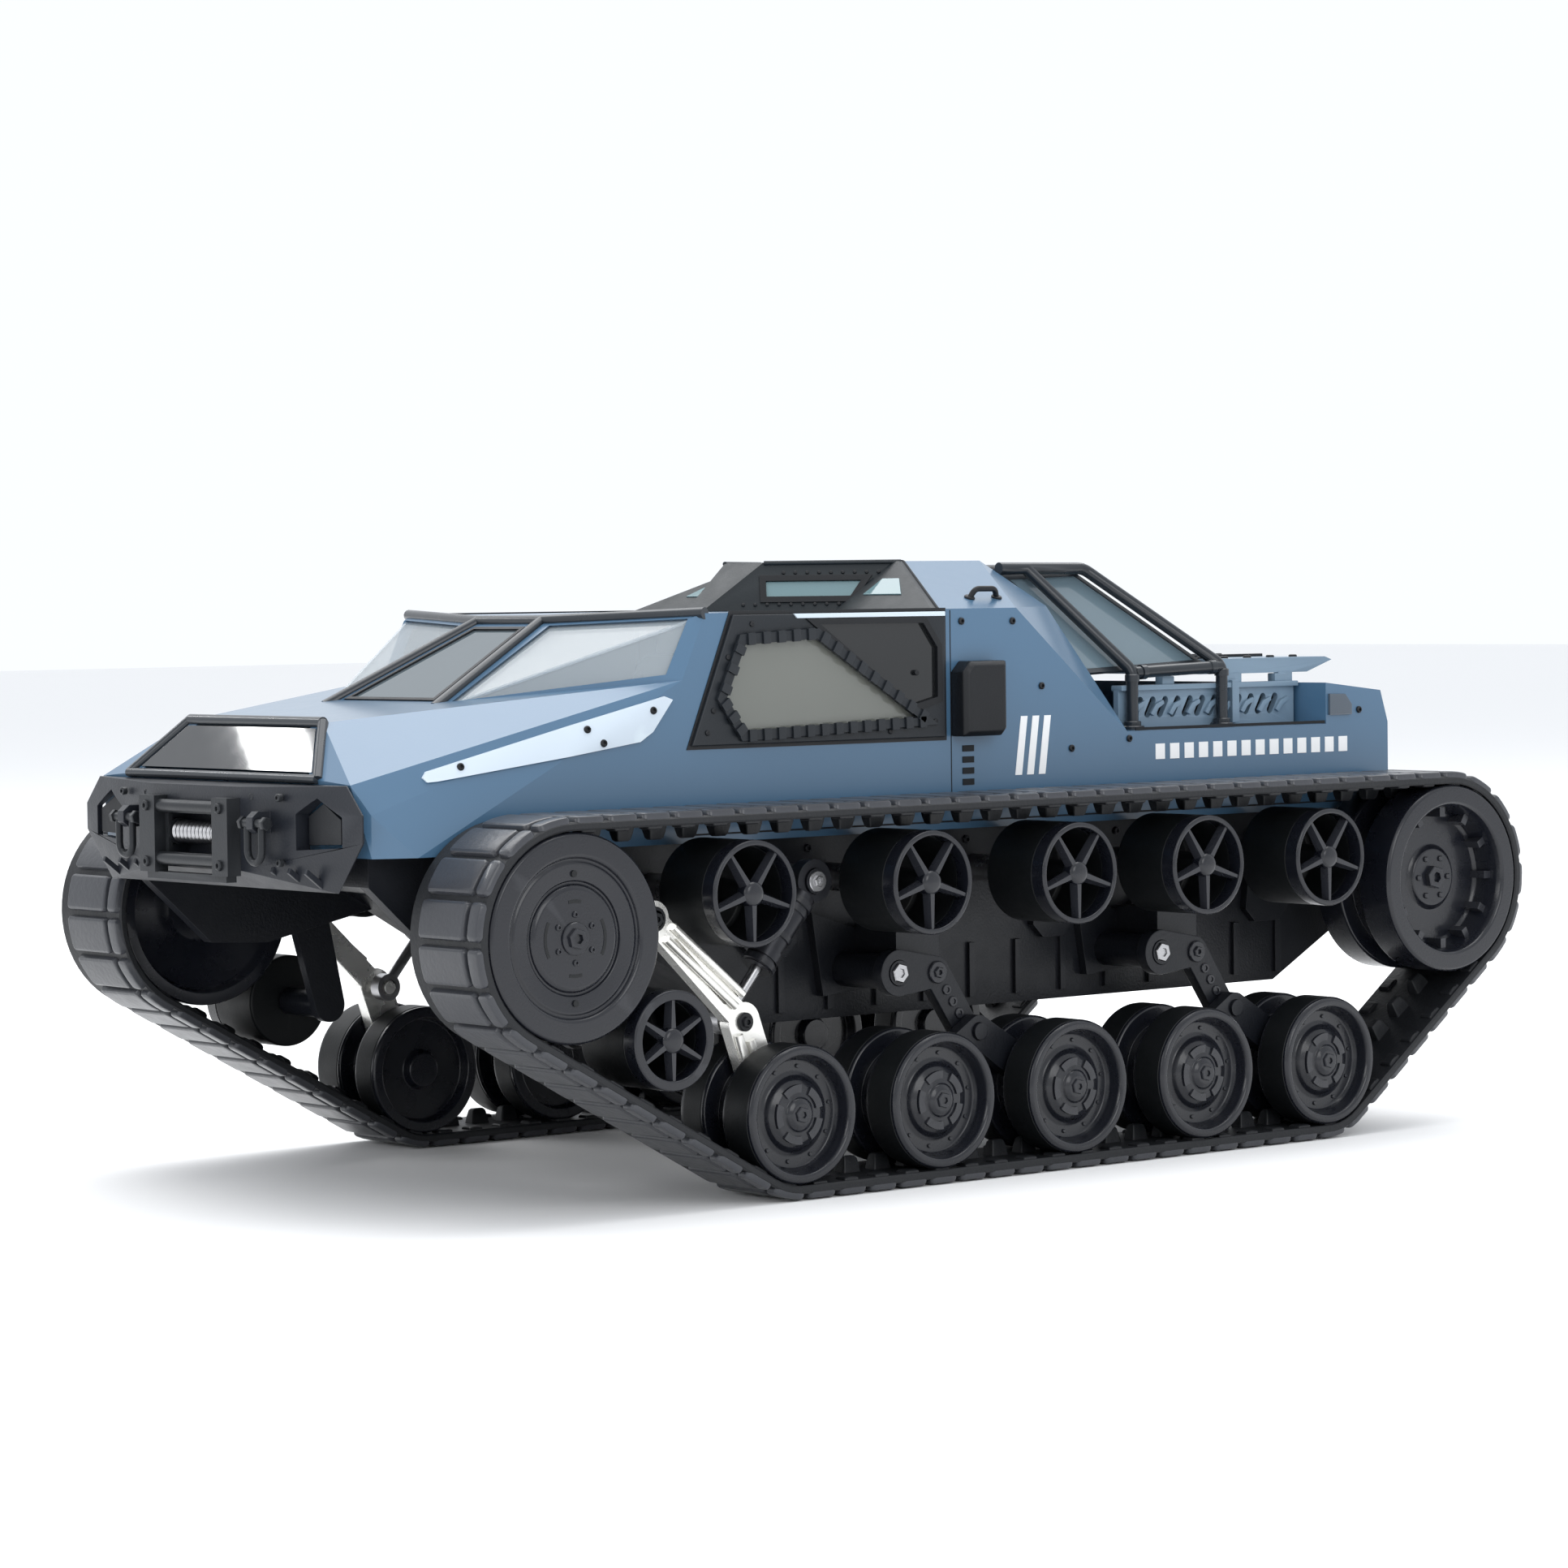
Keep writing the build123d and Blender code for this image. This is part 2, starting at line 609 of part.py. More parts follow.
# The roof module is a wedge that widens backwards into a sloping panel in front of the shoulder.
wedge_front = Vector(4.0, -33.7, roof_z)
wedge_run = Vector(24.0, 33.4, 0.0)
wedge_rise = Vector(4.9, 19.2, roof_top_z - roof_z)


def on_wedge(along, height):
    """The point on the wedge's left face at shares of its run and of its height."""
    return tuple(wedge_front + wedge_run * along + wedge_rise * height)


seam_gap = 0.3
panel_depth = 2.0
panel_foot = (half - 0.6, roof_seam_y - seam_gap, roof_z)
panel_head = (shoulder_top_x + 0.2, shoulder_top_y[0] - seam_gap, roof_top_z)
window_low, window_high = 0.24, 0.64
strip_corners = [(0.34, window_low), (0.16, window_high), (0.88, window_high), (0.96, window_low)]
strip_outline = [on_wedge(t, h) for t, h in strip_corners]
with BuildPart() as roof_module:
    add(convex_solid(both([on_wedge(t, h) for t in (0, 1) for h in (0, 1)])))
    panel = [panel_foot, panel_head]
    panel += [(x, y - panel_depth, z) for x, y, z in panel]
    add(convex_solid(both(panel)))
    room = [(3.5, -24.0, roof_z - 1), (24.5, -3.0, roof_z - 1), (7.0, -10.0, 170.5), (28.0, 13.5, 170.5)]
    add(convex_solid(both(room)), mode=Mode.SUBTRACT)
    for outline in (strip_outline, mirrored(strip_outline)):
        add(through(outline, 0.0), mode=Mode.SUBTRACT)
write(roof_module.part, "roof_module")

pane = 1.2
pane_clearance = 5.2
rear_pane = [
    (34.0, 58.1, 167.5), (33.2, 86.8, 168.5), (54.8, 118.0, 141.5), (56.4, 67.0, 139.5), (41.6, 66.4, 158.0),
]
slope_pane = [(-31.6, 88.0, 168.3), (31.6, 88.0, 168.3), (53.4, 118.5, 141.3), (-53.4, 118.5, 141.3)]
with BuildPart() as glazing:
    for screen in screens:
        add(plate(shrunk(screen, pane_clearance), pane, lift=-0.3))
    for sign in (1, -1):
        add(side_prism(
            [(-85, 126), (-74.2, 155.5), (-2, 155.5), (-2, 126)],
            sign * (half - pane),
            sign * half,
        ))
    for outline in (strip_outline, mirrored(strip_outline)):
        add(plate(shrunk(outline, 0.8), pane, lift=-0.2))
    for outline in (rear_pane, mirrored(rear_pane)):
        add(plate(outline, 1.0))
    add(plate(slope_pane, pane))
write(glazing.part, "glazing")

tube_radius = 1.8
cage_x = 60.0
cage_top = (88.3, 170.4)
rail = [
    (cage_top_x, 54.0, 170.6), (cage_top_x, *cage_top), (cage_x, 123.0, 140.6), (cage_x, 123.0, belt_line_z),
]
brace = [(cage_top_x, 64.9, 170.5), (cage_x, 85.5, 139.6), (cage_x, 85.5, belt_line_z)]
with BuildPart() as left_cage:
    for points in (rail, brace):
        with BuildLine() as path:
            FilletPolyline(*points, radius=5.0)
        with BuildSketch(path.line ^ 0):
            Circle(tube_radius)
        sweep()
    with BuildLine() as tie:
        Line((cage_x, 86.5, 139.0), (cage_x, 122.5, 140.2))
    with BuildSketch(tie.line ^ 0):
        Circle(tube_radius)
    sweep()
with BuildPart() as roll_cage:
    add(left_cage.part)
    add(mirror(left_cage.part, about=Plane.YZ))
    add(round_bar(cage_top, tube_radius - 0.2, -cage_top_x, cage_top_x))
write(roll_cage.part, "roll_cage")

deck_outline = [(120, 137.8), (120, 142.4), (171, 142.4), (174, 141.4), (163, 137.8)]
deck_half_width = 57.0
corner_notch = [(119, 137), (119, 143), (124.5, 143), (124.5, 137)]     # clears the cage tube above it
notch_width = 2.5
wall_x = 55.5
wall_thickness = 2.0
slot_start_y, slot_step, slot_count = 90.0, 5.2, 12
with BuildPart() as rear_deck:
    add(side_prism(deck_outline, -deck_half_width, deck_half_width))
    for sign in (1, -1):
        inner, outer = sign * (deck_half_width - notch_width), sign * (deck_half_width + 1)
        add(side_prism(corner_notch, inner, outer), mode=Mode.SUBTRACT)
        wall = [(82, belt_line_z), (82, 134), (156.5, 134), (156.5, belt_line_z)]
        add(side_prism(wall, sign * wall_x, sign * (wall_x + wall_thickness)))
        for y in (128, 150):
            post = [(y, 133), (y, 138), (y + 6, 138), (y + 6, 133)]
            add(side_prism(post, sign * wall_x, sign * (wall_x + wall_thickness)))
        with BuildSketch(side_plane(sign * wall_x)):
            with Locations(*[(slot_start_y + i * slot_step, 128.5) for i in range(slot_count)]):
                SlotOverall(7.0, 2.4, rotation=60)
        extrude(amount=sign * wall_thickness, mode=Mode.SUBTRACT)
write(rear_deck.part, "rear_deck")

intake_outline = [(4.0, 122.5), (4.0, 141.0), (7.0, 144.0), (20.5, 144.0), (20.5, 124.5), (18.5, 122.5)]
with BuildPart() as side_intakes:
    for sign in (1, -1):
        add(side_prism(intake_outline, sign * half, sign * (half + 6.8)))
    outer_faces = side_intakes.faces().filter_by(Axis.X).group_by(lambda f: round(abs(f.center().X)))[-1]
    chamfer(outer_faces.edges(), 1.4)
write(side_intakes.part, "side_intakes")

floor_z = 96.5
with BuildPart() as cabin_interior:
    with BuildSketch(Plane.XY.offset(floor_z)):
        with Locations((0, -32)):
            Rectangle(128, 114)
    extrude(amount=2.0)
    for sign in (1, -1):
        with BuildSketch(Plane.XY.offset(floor_z + 2)):
            with Locations((sign * 24, -46)):
                RectangleRounded(34, 36, 4)
        extrude(amount=12)
        back = [(-32, 106), (-24, 144), (-17, 144), (-23, 106)]
        add(side_prism(back, sign * 24 - 15, sign * 24 + 15))
    dash = [(-88, 98), (-88, 121), (-78, 124), (-72, 112), (-78, 98)]
    add(side_prism(dash, -56, 56))
write(cabin_interior.part, "cabin_interior")


# ---- front end ----------------------------------------------------------------------------
bumper_back_y = -198.0
bumper_front_y = -206.0
bumper_top_z = 115.2
bumper_low_z = 92.0
skid_z = 86.8
winch_half = 22.0
front_y = -210.2
with BuildPart() as front_bumper:
    centre = [
        (winch_half, bumper_front_y, bumper_top_z - 0.8), (winch_half, bumper_front_y, bumper_low_z),
        (winch_half, bumper_back_y, bumper_top_z), (winch_half, bumper_back_y, skid_z),
    ]
    add(convex_solid(both(centre)))
    for sign in (1, -1):
        wing = centre + [
            (60.8, bumper_back_y - 0.6, bumper_top_z), (60.8, bumper_back_y, bumper_top_z),
            (68.0, bumper_back_y - 0.6, 107.6), (68.0, bumper_back_y, 107.6),
            (68.0, bumper_back_y - 0.6, 100.3), (68.0, bumper_back_y, 100.3),
            (56.0, bumper_back_y, skid_z), (52.0, bumper_back_y - 2.0, bumper_low_z),
        ]
        add(convex_solid([(sign * x, y, z) for x, y, z in wing]))
        with BuildSketch(Plane(origin=(0, bumper_front_y - 2, 0), x_dir=(1, 0, 0), z_dir=(0, -1, 0))):
            with BuildLine():
                lamp = [(43, 98), (43, 107.5), (51, 111.8), (60.5, 107), (60.5, 99)]
                Polyline(*[(sign * x, z) for x, z in lamp], close=True)
            make_face()
        extrude(amount=-10, mode=Mode.SUBTRACT)
        lug = [
            (-203.5, 102.2), (-203.5, 108.2), (-208.0, 108.2), (-209.9, 106.6), (-209.9, 103.6), (-208, 102.2),
        ]
        add(side_prism(lug, sign * 32 - 1.5, sign * 32 + 1.5))
        add(round_bar((-208.2, 105.0), 1.3, sign * 32 - 3, sign * 32 + 3), mode=Mode.SUBTRACT)
    with BuildSketch(Plane(origin=(0, bumper_front_y - 1, 0), x_dir=(1, 0, 0), z_dir=(0, -1, 0))):
        with Locations((0, 101.5)):
            Rectangle(28, 12)
    extrude(amount=-7.6, mode=Mode.SUBTRACT)
write(front_bumper.part, "front_bumper")

with BuildPart() as winch:
    for sign in (1, -1):
        post = [(front_y, 90.6), (front_y, 111.4), (bumper_front_y, 111.4), (bumper_front_y, 90.6)]
        add(side_prism(post, sign * 14.2, sign * (winch_half - 0.2)))
    for z in (108.6, 94.4):
        add(round_bar((-208.1, z), 1.8, -15.0, 15.0))
    foot = [(front_y + 1, 88.8), (front_y + 1, 90.7), (bumper_front_y, 90.7), (bumper_front_y, 88.8)]
    add(side_prism(foot, -19.6, 19.6))
    add(round_bar((-203.2, 101.5), 2.6, -13.6, 13.6))
    for x in (-13.6, 12.4):
        add(round_bar((-203.2, 101.5), 3.6, x, x + 1.2))
write(winch.part, "winch")

shackle_pin_yz = (-208.2, 105.0)
bow_radius = 3.4
with BuildPart() as tow_shackle:
    add(round_bar(shackle_pin_yz, 1.25, 32 - 5.2, 32 + 5.2))
    with BuildLine(Plane(origin=(32, *shackle_pin_yz), x_dir=(1, 0, 0), z_dir=(0, -1, 0))) as bow:
        straight = 7.0
        Line((-bow_radius, 0), (-bow_radius, -straight))
        ThreePointArc((-bow_radius, -straight), (0, -straight - bow_radius), (bow_radius, -straight))
        Line((bow_radius, -straight), (bow_radius, 0))
    with BuildSketch(bow.line ^ 0):
        Circle(1.0)
    sweep()
for side_name, side in sides.items():
    write(tow_shackle.part, f"tow_shackle_{side_name}", side)
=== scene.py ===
import json
import math

import bmesh
import bpy
from mathutils import Matrix, Vector

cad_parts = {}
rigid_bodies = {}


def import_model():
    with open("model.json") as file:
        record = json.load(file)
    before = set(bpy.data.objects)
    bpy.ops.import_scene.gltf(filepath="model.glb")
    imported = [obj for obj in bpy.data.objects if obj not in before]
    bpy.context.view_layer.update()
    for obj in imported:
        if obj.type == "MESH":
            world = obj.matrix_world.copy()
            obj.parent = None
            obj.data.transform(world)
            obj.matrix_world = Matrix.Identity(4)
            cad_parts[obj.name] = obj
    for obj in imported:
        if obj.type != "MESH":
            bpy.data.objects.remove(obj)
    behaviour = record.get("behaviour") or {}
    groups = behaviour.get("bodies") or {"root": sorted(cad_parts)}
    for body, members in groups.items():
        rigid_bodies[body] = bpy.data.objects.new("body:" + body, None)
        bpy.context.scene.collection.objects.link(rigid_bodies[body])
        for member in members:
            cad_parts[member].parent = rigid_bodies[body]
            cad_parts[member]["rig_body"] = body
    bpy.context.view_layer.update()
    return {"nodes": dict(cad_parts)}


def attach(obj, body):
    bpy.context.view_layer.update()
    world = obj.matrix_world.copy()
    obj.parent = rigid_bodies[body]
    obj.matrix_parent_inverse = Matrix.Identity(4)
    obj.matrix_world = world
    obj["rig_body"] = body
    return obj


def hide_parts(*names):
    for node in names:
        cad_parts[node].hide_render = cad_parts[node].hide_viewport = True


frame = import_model()

# Lengths are in millimetres until a mesh is finished, then scaled to metres.
MM = 0.001
SIDES = {"left": 1, "right": -1}
OUT_X = 103.5               # outer face of the wheels and of the belts
INNER_X = 73.0              # inner face of the wide wheels
BELT_INNER_X = 71.1
LUG_X = 87.3                # middle of the belt's guide teeth
HALF = 70.2                 # half the width of the body
DOOR_X = HALF + 1.2         # outer face of the door panels
HULL_X = 57.8               # just inside the hull's side

# Wheel centres and suspension pivots, as (y, z).
FRONT_WHEEL, DRIVE_WHEEL, TENSION_WHEEL = (-156.2, 75.0), (177.7, 74.9), (-124.1, 46.2)
ROAD_FIRST_Y, ROAD_PITCH, ROAD_Z = -80.0, 51.0, 23.0
ROLLER_Y, ROLLER_Z = (-96.0, -32.5, 23.0, 74.1, 124.8), 83.7
ARM_PIVOT, ARM_EYE, DAMPER_TOP = (-119.5, 77.5), (-89.0, 48.0), (-58.0, 84.5)
SWING_PIVOT_Y = {"mid": -29.1, "rear": 72.9}


# ---- materials ----
def settings(node, values):
    """Sets a shader node's inputs by name."""
    for name, value in values.items():
        node.inputs[name].default_value = value


def finish_of(name, colour, rough=0.5, metal=0.0, vary=0.10, wear=0.0, grain=0.0, grain_scale=1400.0,
              coat=0.0, alpha=1.0, specular=0.32, rough_vary=0.10):
    """A surface with colour drift, uneven roughness, fine grain and lighter worn edges."""
    mat = bpy.data.materials.new(name)
    mat.use_nodes = True
    nodes, links = mat.node_tree.nodes, mat.node_tree.links
    shader = nodes["Principled BSDF"]
    settings(shader, {"Metallic": metal, "Coat Weight": coat, "Coat Roughness": 0.12,
                      "Specular IOR Level": specular, "Alpha": alpha})
    place = nodes.new("ShaderNodeTexCoord")

    def noise(scale, detail):
        node = nodes.new("ShaderNodeTexNoise")
        settings(node, {"Scale": scale, "Detail": detail})
        links.new(place.outputs["Object"], node.inputs["Vector"])
        return node.outputs["Fac"]

    def mixed(a, b, factor):
        node = nodes.new("ShaderNodeMix")
        node.data_type = "RGBA"
        for socket, value in ((node.inputs[6], a), (node.inputs[7], b)):
            if isinstance(value, tuple):
                socket.default_value = value
            else:
                links.new(value, socket)
        links.new(factor, node.inputs[0])
        return node.outputs[2]

    dark = tuple(c * (1 - vary) for c in colour) + (1,)
    light = tuple(min(1.0, c * (1 + vary)) for c in colour) + (1,)
    base = mixed(dark, light, noise(38.0, 6.0))
    if wear:
        edge = nodes.new("ShaderNodeNewGeometry")
        ramp = nodes.new("ShaderNodeMapRange")
        settings(ramp, {"From Min": 0.53, "From Max": 0.62, "To Max": wear})
        links.new(edge.outputs["Pointiness"], ramp.inputs["Value"])
        worn = tuple(min(1.0, c * 1.5 + 0.02) for c in colour) + (1,)
        base = mixed(base, worn, ramp.outputs["Result"])
    links.new(base, shader.inputs["Base Color"])
    spread = nodes.new("ShaderNodeMapRange")
    settings(spread, {"To Min": max(0.02, rough - rough_vary), "To Max": min(1.0, rough + rough_vary)})
    links.new(noise(160.0, 5.0), spread.inputs["Value"])
    links.new(spread.outputs["Result"], shader.inputs["Roughness"])
    if grain:
        bump = nodes.new("ShaderNodeBump")
        settings(bump, {"Strength": grain, "Distance": 0.0002})
        links.new(noise(grain_scale, 3.0), bump.inputs["Height"])
        links.new(bump.outputs["Normal"], shader.inputs["Normal"])
    return mat


PAINT = finish_of("body_paint", (0.042, 0.104, 0.180), 0.30, vary=0.04, wear=0.35, grain=0.05, coat=0.4,
                  specular=0.5, rough_vary=0.03)
PALE = finish_of("pale_plate", (0.560, 0.640, 0.720), 0.32, vary=0.04, wear=0.2, grain=0.05, coat=0.3)
DOOR = finish_of("door_plastic", (0.010, 0.013, 0.017), 0.38, vary=0.12, wear=0.45, grain=0.25)
ROOF = finish_of("roof_black", (0.007, 0.011, 0.014), 0.42, vary=0.12, wear=0.45, grain=0.2)
BLACK = finish_of("intake_black", (0.004, 0.005, 0.007), 0.45, vary=0.1, wear=0.3, grain=0.2)
# Near black for the panel seams, the side recess and the roof seam, and for the painted shade behind the
# rear deck grille.
SEAM_AND_SHADE = finish_of("seam", (0.008, 0.010, 0.013), 0.7, vary=0.1)
CAGE = finish_of("cage_tube", (0.010, 0.014, 0.019), 0.30, vary=0.10, wear=0.35, grain=0.1, coat=0.3)
DECK = finish_of("deck_plastic", (0.150, 0.220, 0.290), 0.38, vary=0.06, wear=0.3, grain=0.1, coat=0.2)
CABIN = finish_of("interior_plastic", (0.520, 0.550, 0.570), 0.55, vary=0.06, grain=0.2)
BUMPER = finish_of("bumper_plastic", (0.012, 0.014, 0.019), 0.36, vary=0.12, wear=0.5, grain=0.35)
WINCH = finish_of("winch_metal", (0.018, 0.020, 0.023), 0.36, metal=0.3, vary=0.15, wear=0.6, grain=0.2)
RUBBER = finish_of("track_rubber", (0.007, 0.008, 0.010), 0.5, vary=0.2, wear=0.3, grain=0.6,
                   grain_scale=900.0)
# Tread pads: the belt's own rubber, given a lighter grey base colour that is painted sheen; the coat adds
# real gloss.
PADS_PAINTED_SHEEN = finish_of("tread_rubber_painted_sheen", (0.030, 0.032, 0.038), 0.34, vary=0.2, wear=0.4, grain=0.5,
                 grain_scale=700.0, coat=0.25)
WHEEL = finish_of("wheel_plastic", (0.007, 0.008, 0.012), 0.28, vary=0.12, wear=0.45, grain=0.2, coat=0.3)
# Near black for the roller drums and road wheel tyres; also the painted shade of the idler's dark slot arcs.
DRUM_AND_SLOT_SHADE = finish_of("wheel_drum_and_slot_shade", (0.004, 0.005, 0.006), 0.50, vary=0.15, wear=0.2, grain=0.2)
NYLON = finish_of("chassis_plastic", (0.006, 0.007, 0.010), 0.34, vary=0.15, wear=0.4, grain=0.35)
ALLOY = finish_of("arm_aluminium", (0.900, 0.890, 0.850), 0.28, metal=0.75, vary=0.04, grain=0.15)
DAMPER = finish_of("damper_metal", (0.020, 0.021, 0.025), 0.32, metal=0.5, vary=0.1, wear=0.5, grain=0.1)
STEEL = finish_of("steel", (0.420, 0.420, 0.430), 0.30, metal=1.0, vary=0.08, grain=0.15)
WRAP = finish_of("battery_wrap", (0.030, 0.090, 0.300), 0.35, vary=0.1, coat=0.4)
BOARD = finish_of("circuit_board", (0.020, 0.120, 0.050), 0.40, vary=0.2)
MARK = finish_of("white_mark", (0.860, 0.870, 0.880), 0.45, vary=0.03)
TAIL = finish_of("tail_lens", (0.060, 0.080, 0.105), 0.12, vary=0.1, coat=0.8)
SCREEN = finish_of("screen_glass", (0.085, 0.110, 0.125), 0.05, vary=0.05, alpha=0.90, specular=0.9,
                   rough_vary=0.02)
# Side screens: clear glass drawn as a pale grey, part see-through sheet; the pale grey is painted
# reflection.
CLEAR_PAINTED_REFLECTION = finish_of("clear_glass_painted_reflection", (0.480, 0.540, 0.580), 0.04, vary=0.03, alpha=0.38, specular=0.9,
                  rough_vary=0.02)
SMOKE = finish_of("smoked_glass", (0.170, 0.178, 0.160), 0.06, vary=0.05, alpha=0.88, specular=0.8,
                  rough_vary=0.02)
TEAL = finish_of("roof_glass", (0.160, 0.260, 0.280), 0.05, vary=0.05, alpha=0.85, specular=0.8,
                 rough_vary=0.02)
NIGHT = finish_of("dark_glass", (0.010, 0.011, 0.012), 0.06, vary=0.05, specular=0.6, rough_vary=0.02)
HOOD = finish_of("hood_glass", (0.004, 0.006, 0.009), 0.04, vary=0.1, specular=1.0, rough_vary=0.02)
REAR = finish_of("rear_glass", (0.130, 0.185, 0.220), 0.06, vary=0.05, alpha=0.82, specular=0.8,
                 rough_vary=0.02)


# ---- mesh helpers ----
def done(bm, name, mat, body, bevel=0.0, smooth=35.0, replaces=(), segments=2):
    """Rounds a mesh's hard edges, turns it into an object and lets it ride on a CAD body."""
    bmesh.ops.recalc_face_normals(bm, faces=bm.faces)
    if bevel:
        hard = [e for e in bm.edges if len(e.link_faces) == 2 and e.calc_face_angle(0) > math.radians(32)]
        bmesh.ops.bevel(bm, geom=hard, offset=bevel, segments=segments, profile=0.6, affect="EDGES",
                        clamp_overlap=True)
    bmesh.ops.scale(bm, vec=(MM, MM, MM), verts=bm.verts)
    mesh = bpy.data.meshes.new(name)
    bm.to_mesh(mesh)
    bm.free()
    mesh.materials.append(mat)
    mesh.polygons.foreach_set("use_smooth", [True] * len(mesh.polygons))
    mesh.set_sharp_from_angle(angle=math.radians(smooth))
    obj = bpy.data.objects.new(name, mesh)
    bpy.context.scene.collection.objects.link(obj)
    weighted = obj.modifiers.new("normals", "WEIGHTED_NORMAL")
    weighted.keep_sharp = True
    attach(obj, body)
    if replaces:
        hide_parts(*replaces)
    return obj


def refined(node, mat, bevel=0.25, smooth=35.0, segments=2):
    """A CAD node's own shape with clean flat faces and rounded edges."""
    source = frame["nodes"][node]
    bm = bmesh.new()
    bm.from_mesh(source.data)
    bmesh.ops.scale(bm, vec=(1000, 1000, 1000), verts=bm.verts)
    bmesh.ops.remove_doubles(bm, verts=bm.verts, dist=0.004)
    bmesh.ops.dissolve_limit(bm, angle_limit=math.radians(1.2), use_dissolve_boundaries=False,
                             verts=bm.verts, edges=bm.edges)
    return done(bm, node + ".shape", mat, source["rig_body"], bevel, smooth, (node,), segments)


def face(bm, points):
    """One face on points."""
    return bm.faces.new([bm.verts.new(p) for p in points])


def bridge(bm, low, high):
    """A closed solid between two rings of points of the same count."""
    a = [bm.verts.new(p) for p in low]
    b = [bm.verts.new(p) for p in high]
    bm.faces.new(a)
    bm.faces.new(b)
    for i in range(len(a)):
        j = (i + 1) % len(a)
        bm.faces.new((a[i], a[j], b[j], b[i]))


def prism(bm, outline, x0, x1):
    """A (y, z) outline extruded along X."""
    bridge(bm, [(x0, y, z) for y, z in outline], [(x1, y, z) for y, z in outline])


def outward(outline):
    """The normal of an outline that faces out of the vehicle."""
    a, b, c = (Vector(p) for p in outline[:3])
    normal = (b - a).cross(c - a).normalized()
    hint = Vector((sum(p[0] for p in outline) / len(outline), -40, 60))
    return normal if normal.dot(hint) > 0 else -normal


def slab(bm, outline, thickness, lift=0.0):
    """A flat plate on an outline of points."""
    n = outward(outline)
    top = [Vector(p) + n * lift for p in outline]
    bridge(bm, [p - n * thickness for p in top], top)


def drawn(outline, margin):
    """An outline moved in (or out when negative) by about the same margin at every edge."""
    n = outward(outline)
    points = [Vector(p) for p in outline]
    middle = sum(points, Vector()) / len(points)
    count = len(points)
    result = []
    for i, p in enumerate(points):
        before = (p - points[i - 1]).normalized()
        after = (points[(i + 1) % count] - p).normalized()
        sides = []
        for along in (before, after):
            side = n.cross(along)
            sides.append(side if side.dot(middle - p) > 0 else -side)
        way = (sides[0] + sides[1]).normalized()
        result.append(p + way * margin / max(0.35, way.dot(sides[0])))
    return result


def ring(bm, outer, inner, thickness, lift=0.0):
    """A flat frame between an outer and an inner outline of the same count."""
    n = outward(outer)
    rings = []
    base = lift - thickness
    for outline, height in ((outer, lift), (inner, lift), (inner, base), (outer, base)):
        rings.append([bm.verts.new(Vector(p) + n * height) for p in outline])
    count = len(outer)
    for a, b in zip(rings, rings[1:] + rings[:1]):
        for i in range(count):
            j = (i + 1) % count
            bm.faces.new((a[i], a[j], b[j], b[i]))


def lathe(bm, profile, yz, side=1, steps=72, soft=0.35):
    """A surface turned about the axle at yz from (x, radius) points with softened corners."""
    y, z = yz
    line = softened(profile, soft)
    rings = []
    for x, r in line:
        if r < 1e-6:
            rings.append([bm.verts.new((side * x, y, z))])
        else:
            rings.append([
                bm.verts.new((side * x, y + r * math.cos(t), z + r * math.sin(t)))
                for t in (2 * math.pi * k / steps for k in range(steps))
            ])
    for a, b in zip(rings, rings[1:]):
        for k in range(steps):
            m = (k + 1) % steps
            if len(a) == 1 and len(b) == 1:
                continue
            if len(a) == 1:
                bm.faces.new((a[0], b[k], b[m]))
            elif len(b) == 1:
                bm.faces.new((a[k], a[m], b[0]))
            else:
                bm.faces.new((a[k], a[m], b[m], b[k]))


def softened(profile, radius):
    """A line of points with every corner between its ends rounded."""
    line = [profile[0]]
    for i in range(1, len(profile) - 1):
        p, q, s = (Vector(profile[k]) for k in (i - 1, i, i + 1))
        cut = min(radius, (q - p).length * 0.4, (s - q).length * 0.4)
        a, b = q + (p - q).normalized() * cut, q + (s - q).normalized() * cut
        for t in (0.0, 0.33, 0.67, 1.0):
            line.append(tuple(a * (1 - t) ** 2 + q * 2 * t * (1 - t) + b * t * t))
    line.append(profile[-1])
    return line


def basis(axis):
    """Two directions across an axis."""
    n = Vector(axis).normalized()
    u = n.orthogonal().normalized()
    return n, u, n.cross(u)


def stud(bm, at, axis, radius, height, sides=6, chamfer=0.25, hole=0.0, turn=0.0):
    """A bolt head or boss standing on a surface, with an optional socket."""
    n, u, v = basis(axis)
    at = Vector(at)

    def circle(r, h):
        return [
            bm.verts.new(at + n * h + u * r * math.cos(t) + v * r * math.sin(t))
            for t in (2 * math.pi * (k + turn) / sides for k in range(sides))
        ]

    levels = [(radius, -0.6), (radius, height - chamfer), (radius - chamfer, height)]
    if hole:
        levels += [(hole, height), (hole * 0.9, height * 0.35)]
    rings = [circle(r, h) for r, h in levels]
    for a, b in zip(rings, rings[1:]):
        for k in range(sides):
            m = (k + 1) % sides
            bm.faces.new((a[k], a[m], b[m], b[k]))
    bm.faces.new(rings[-1])
    bm.faces.new(rings[0])


